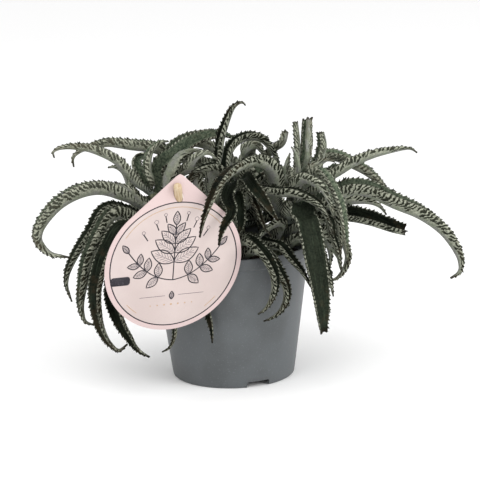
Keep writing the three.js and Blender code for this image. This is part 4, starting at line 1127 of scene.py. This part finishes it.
def stemSkin():
    finish = Finish("stemSkin", 0.6, gloss=0.06)
    grain = finish.cloud(finish.place(scale=(1, 1, 3)), 420, detail=4)
    return finish.show(finish.tint("#4c5240", "#7d7f6a", grain, 0.35, 0.65), None, grain, 0.0003)


# the leafy stems

# lanes cross a leaf from margin to margin; toothWave is one tooth, ring by ring; relief makes the ribs below
leafForm = dict(
    lanes=(-1, -0.9, -0.66, -0.34, 0, 0.34, 0.66, 0.9, 1), curl=22,
    toothPitch=3.0, fewestTeeth=6, ringsPerTooth=5, toothWave=(0.0, 0.15, 0.45, 1.0, 0.25), toothRoot=0.25,
    toothRise=1.0, toothGrowth=0.08, toothStart=(0.03, 0.12), toothFade=2.5, toothLean=0.75,
    toothRange=(0.7, 1.3), smallTooth=0.6, toothShare=0.3,
    pointFrom=0.94, pointEnd=0.4, brokenEnd=(-1.2, 1.2), marginThickness=0.5, marginPower=1.6,
    relief=0.13, reliefSlant=1.45, reliefShift=0.6, reliefFrom=0.2, reliefFade=6, crisp=60, seed=40,
)
# buds sit between the teeth, larger in clusters; lean and tuck tilt them off the margin
budForm = dict(
    likelihood=0.6, size=(0.4, 0.85), growth=0.02, fade=3, start=0.08, end=0.95,
    clusterBase=0.75, clusters=0.9, clusterStep=0.55, clusterShift=9, clusterPower=3,
    lean=(0.2, 0.7), tuck=(-0.1, 0.5), twist=1.6, lobe=(0.34, 0.62, 0.9), rise=0.62, opening=30,
    shade=(0.7, 0.3),
)
stemForm = dict(
    rings=48, columns=18, ripple=0.07, ripples=44, ridges=2, slant=9, taper=(-0.12, 0.06), toneAndShade=0.5,
)

# painted shade: how light the leaves low down on each stem are painted, darker inside the thicket, and the
# painted light they gain farther up
leafPaintedShade = dict(left=(0.45, 0.45), middle=(0.12, 0.3), right=(0.4, 0.5), back=(0.38, 0.62))
paintedLightClimb = (0.5, 0.95)
toneSpread = 0.12


def shellSection():
    # the lanes over the top from one margin to the other, then back under
    lanes = list(leafForm["lanes"])
    between = len(lanes) - 2
    around = np.array(lanes + lanes[-2::-1])
    side = np.array([0] + [1] * between + [0] + [-1] * between + [0])
    place = np.array([0.25 + 0.25 * q for q in lanes] + [0.75 - 0.25 * q for q in lanes[-2::-1]])
    return around, side, place


shellLanes, shellSide, shellPlace = shellSection()


def toothedReach(half, share, teeth, rough):
    # how far each lane lies from the rib at each ring, and how far its teeth lean to the tip
    form = leafForm
    wave = np.append(np.tile(form["toothWave"], teeth), 0.0)
    growth = (form["toothRise"] + form["toothGrowth"] * half) * smooth(share, *form["toothStart"])
    growth = growth * np.minimum(1, half / form["toothFade"])
    reach = np.repeat(half[:, None], len(shellLanes), axis=1)
    lean = np.zeros_like(reach)
    for margin in (-1, 1):
        height = rough.uniform(*form["toothRange"], teeth + 1)
        height[rough.integers(2)::2] *= form["smallTooth"]
        height = np.repeat(height, form["ringsPerTooth"])[:len(share)]
        tooth = growth * (wave - form["toothRoot"]) * height
        for k in np.flatnonzero(shellLanes == margin):
            reach[:, k] += tooth
            lean[:, k] += form["toothLean"] * growth * wave * height
        for k in np.flatnonzero(shellLanes == margin * form["lanes"][-2]):
            reach[:, k] += form["toothShare"] * tooth
    return reach, lean


def bladeSkin(leaf, rough):
    # where each ring and column of one leaf's skin lies, its teeth and the seats of its buds
    form = leafForm
    teeth = max(form["fewestTeeth"], round(leaf["length"] / form["toothPitch"]))
    rings = teeth * form["ringsPerTooth"]
    share = np.arange(rings + 1) / rings
    middle = alongCurve(leaf["points"], share)
    ahead, across, out = (f[0] for f in framesAlong(middle[None], leaf["side"][None], leaf["twist"]))
    half = leaf["half"] * widthAt(share * leaf["cut"])
    if leaf["cut"] == 1:
        half = half * (1 - (1 - form["pointEnd"]) * smooth(share, form["pointFrom"], 1))
    far, sign = np.abs(shellLanes), np.sign(shellLanes)
    start = leaf["fold"] - math.radians(form["curl"])
    bend = 2 * math.radians(form["curl"])
    slope = start + bend * far
    reach, lean = toothedReach(half, share, teeth, rough)
    sideways = sign * reach * (np.sin(slope) - math.sin(start)) / bend
    upwards = reach * (math.cos(start) - np.cos(slope)) / bend
    drop = -blade["drop"] * half * math.sin(leaf["fold"])
    thick = np.minimum(blade["thickness"], blade["thinnest"] + half * blade["thickening"])
    swell = 1 - (1 - form["marginThickness"]) * far ** form["marginPower"]
    phase = share[:, None] * teeth - form["reliefShift"] + form["reliefSlant"] * (1 - far)
    relief = form["relief"] * np.cos(2 * math.pi * phase) * (far > form["reliefFrom"]) * (shellSide < 0)
    relief = relief * np.minimum(1, half / form["reliefFade"])[:, None]
    lift = (thick[:, None] / 2 * swell + relief) * shellSide
    sideways = sideways - sign * np.sin(slope) * lift
    upwards = upwards + np.cos(slope) * lift + drop[:, None]
    skin = (middle[:, None] + across[:, None] * sideways[..., None] + out[:, None] * upwards[..., None]
            + ahead[:, None] * lean[..., None])
    skin[0] = middle[0]
    if leaf["cut"] < 1:  # broken off, with a ragged end
        ragged = rough.uniform(*form["brokenEnd"], len(form["lanes"]))
        skin[-2] += np.append(ragged, ragged[-2::-1])[:, None] * ahead[-1]
        skin[-1] = skin[-2].mean(axis=0) - ahead[-1]
    else:
        skin[-1] = middle[-1] + drop[-1] * out[-1]
    buds = []
    for column, margin in ((0, -1), (len(shellLanes) // 2, 1)):
        rise, run = math.sin(slope[column]), math.cos(slope[column])
        for k in range(1, teeth):
            ring = k * form["ringsPerTooth"]
            chance, size, spin, tip = rough.random(4)
            if chance < budForm["likelihood"] and budForm["start"] < share[ring] < budForm["end"]:
                outward = margin * run * across[ring] + rise * out[ring]
                inner = margin * -rise * across[ring] + run * out[ring]
                grown = budSize(size, half[ring], k * budForm["clusterStep"] + margin
                                + budForm["clusterShift"] * leaf["at"])
                buds.append((skin[ring, column], outward, ahead[ring], inner, grown, spin, tip))
    return skin, teeth, buds


def budSize(chance, half, phase):
    # buds come larger in clusters, and small near the tip
    low, high = budForm["size"]
    grown = (low + (high - low) * chance + budForm["growth"] * half) * min(1, half / budForm["fade"])
    cluster = max(0.0, math.sin(phase)) ** budForm["clusterPower"]
    return grown * (budForm["clusterBase"] + budForm["clusters"] * cluster)


def addSkin(bm, layers, skin, toneAndShade, teeth):
    # a grid laid over rings and columns of points
    rings, columns = skin.shape[0] - 1, skin.shape[1] - 1
    grid = bmesh.ops.create_grid(bm, x_segments=rings, y_segments=columns, size=1, calc_uvs=True)["verts"]
    for v in grid:
        ring = round((v.co.x + 1) / 2 * rings)
        v.co = skin[ring, round((v.co.y + 1) / 2 * columns)]
        v[layers["toneAndShade"]] = toneAndShade
        v[layers["along"]] = ring / rings
        v[layers["teeth"]] = teeth
    return grid


def addBlade(bm, layers, leaf, rough):
    skin, teeth, buds = bladeSkin(leaf, rough)
    low, gain = leafPaintedShade[leaf["stem"]]
    # painted shade by height on the stem and by stem, with a random tone for each leaf
    toneAndShade = low + gain * float(smooth(leaf["at"], *paintedLightClimb)) + toneSpread * rough.uniform(-1, 1)
    addSkin(bm, layers, skin, toneAndShade, teeth)
    return [(*bud, toneAndShade) for bud in buds]


def addStem(bm, layers, line):
    # a round stem, a little swollen where leaves were shed
    form = stemForm
    share = np.arange(form["rings"] + 1) / form["rings"]
    middle = evenPoints(line, form["rings"] + 1)
    _, across, out = (f[0] for f in framesAlong(middle[None], np.array([[1.0, 0, 0]])))
    turn = np.linspace(0, 2 * math.pi, form["columns"] + 1)
    ridges = np.cos(turn * form["ridges"] + share[:, None] * form["slant"])
    swell = 1 + form["ripple"] * np.cos(share * form["ripples"])[:, None] * ridges
    radius = stemRadius * swell * smooth(1 - share, *form["taper"])[:, None]
    skin = (middle[:, None] + across[:, None] * (radius * np.cos(turn))[..., None]
            + out[:, None] * (radius * np.sin(turn))[..., None])
    skin[0] = middle[0]
    skin[-1] = middle[-1]
    grid = addSkin(bm, layers, skin, form["toneAndShade"], 1)
    for face in {f for v in grid for f in v.link_faces}:
        face.material_index = 1


def spreadSkin(mesh):
    # u counts the teeth from the root, v runs round the section with the margins at 0 and 0.5
    layer = mesh.uv_layers["skin"]
    spread = np.empty(2 * len(mesh.loops))
    layer.data.foreach_get("uv", spread)
    spread = spread.reshape(-1, 2)
    corner = np.empty(len(mesh.loops), int)
    mesh.loops.foreach_get("vertex_index", corner)
    teeth = np.empty(len(mesh.vertices))
    mesh.attributes["teeth"].data.foreach_get("value", teeth)
    spread[:, 0] *= teeth[corner]
    last = len(shellPlace) - 1
    spread[:, 1] = np.interp(spread[:, 1] * last, np.arange(last + 1), shellPlace)
    layer.data.foreach_set("uv", spread.ravel())


def makeBuds(name, buds, finish):
    # each bud is two blunt seed leaves that open from one foot
    form = budForm
    bm = bmesh.new()
    shadeLayer = bm.verts.layers.float.new("toneAndShade")
    lobe = Matrix.Translation((0, 0, form["rise"])) @ Matrix.Diagonal((*form["lobe"], 1))
    for seat, outward, ahead, inner, size, spin, tip, toneAndShade in buds:
        lean = form["lean"][0] + form["lean"][1] * tip
        tuck = form["tuck"][0] + form["tuck"][1] * spin
        up = unit(outward + ahead * lean + inner * tuck)
        wide = unit(np.cross(inner, up))
        turn = (spin - 0.5) * form["twist"]
        first = wide * math.cos(turn) + np.cross(up, wide) * math.sin(turn)
        stand = Matrix(np.array([first, np.cross(up, first), up]).T.tolist()).to_4x4()
        place = Matrix.Translation(seat) @ stand @ Matrix.Scale(size, 4)
        for side in (-1, 1):
            splay = Matrix.Rotation(math.radians(side * form["opening"]), 4, "Y")
            bulb = bmesh.ops.create_icosphere(bm, subdivisions=1, radius=1, matrix=place @ splay @ lobe)
            for v in bulb["verts"]:
                # each bud takes part of its leaf's painted shade
                v[shadeLayer] = tip * (form["shade"][0] + form["shade"][1] * toneAndShade)
    makePiece(name, bm, [finish])


def makeLeafyStem(name, leaves, finishes, budFinish, rough):
    bm = bmesh.new()
    bm.loops.layers.uv.new("skin")
    layers = {key: bm.verts.layers.float.new(key) for key in ("toneAndShade", "along", "teeth")}
    buds = []
    for leaf in leaves:
        buds += addBlade(bm, layers, leaf, rough)
    addStem(bm, layers, stemLines[name])
    tidyShell(bm)
    piece = makePiece("leafyStem" + name.capitalize(), bm, finishes, ["leafy_stem_" + name])
    spreadSkin(piece.data)
    markSharp(piece, leafForm["crisp"])
    makeBuds(name + "Buds", buds, budFinish)
    print(piece.name, "leaves", len(leaves), "buds", len(buds), "faces", len(piece.data.polygons))


placeCamera()
lightTheStage()
print("stage set")
makePot()
makeSoil()
print("pot and soil made")
makeCard()
makePrint()
makeStake()
print("label made")
leaves = layLeaves()
easeApart(leaves)
print("leaves laid:", len(leaves))
skins = [leafSkin(), stemSkin()]
budFinish = budSkin()
for turn, stem in enumerate(stemLines):
    makeLeafyStem(stem, [leaf for leaf in leaves if leaf["stem"] == stem], skins, budFinish,
                  np.random.default_rng(leafForm["seed"] + turn))
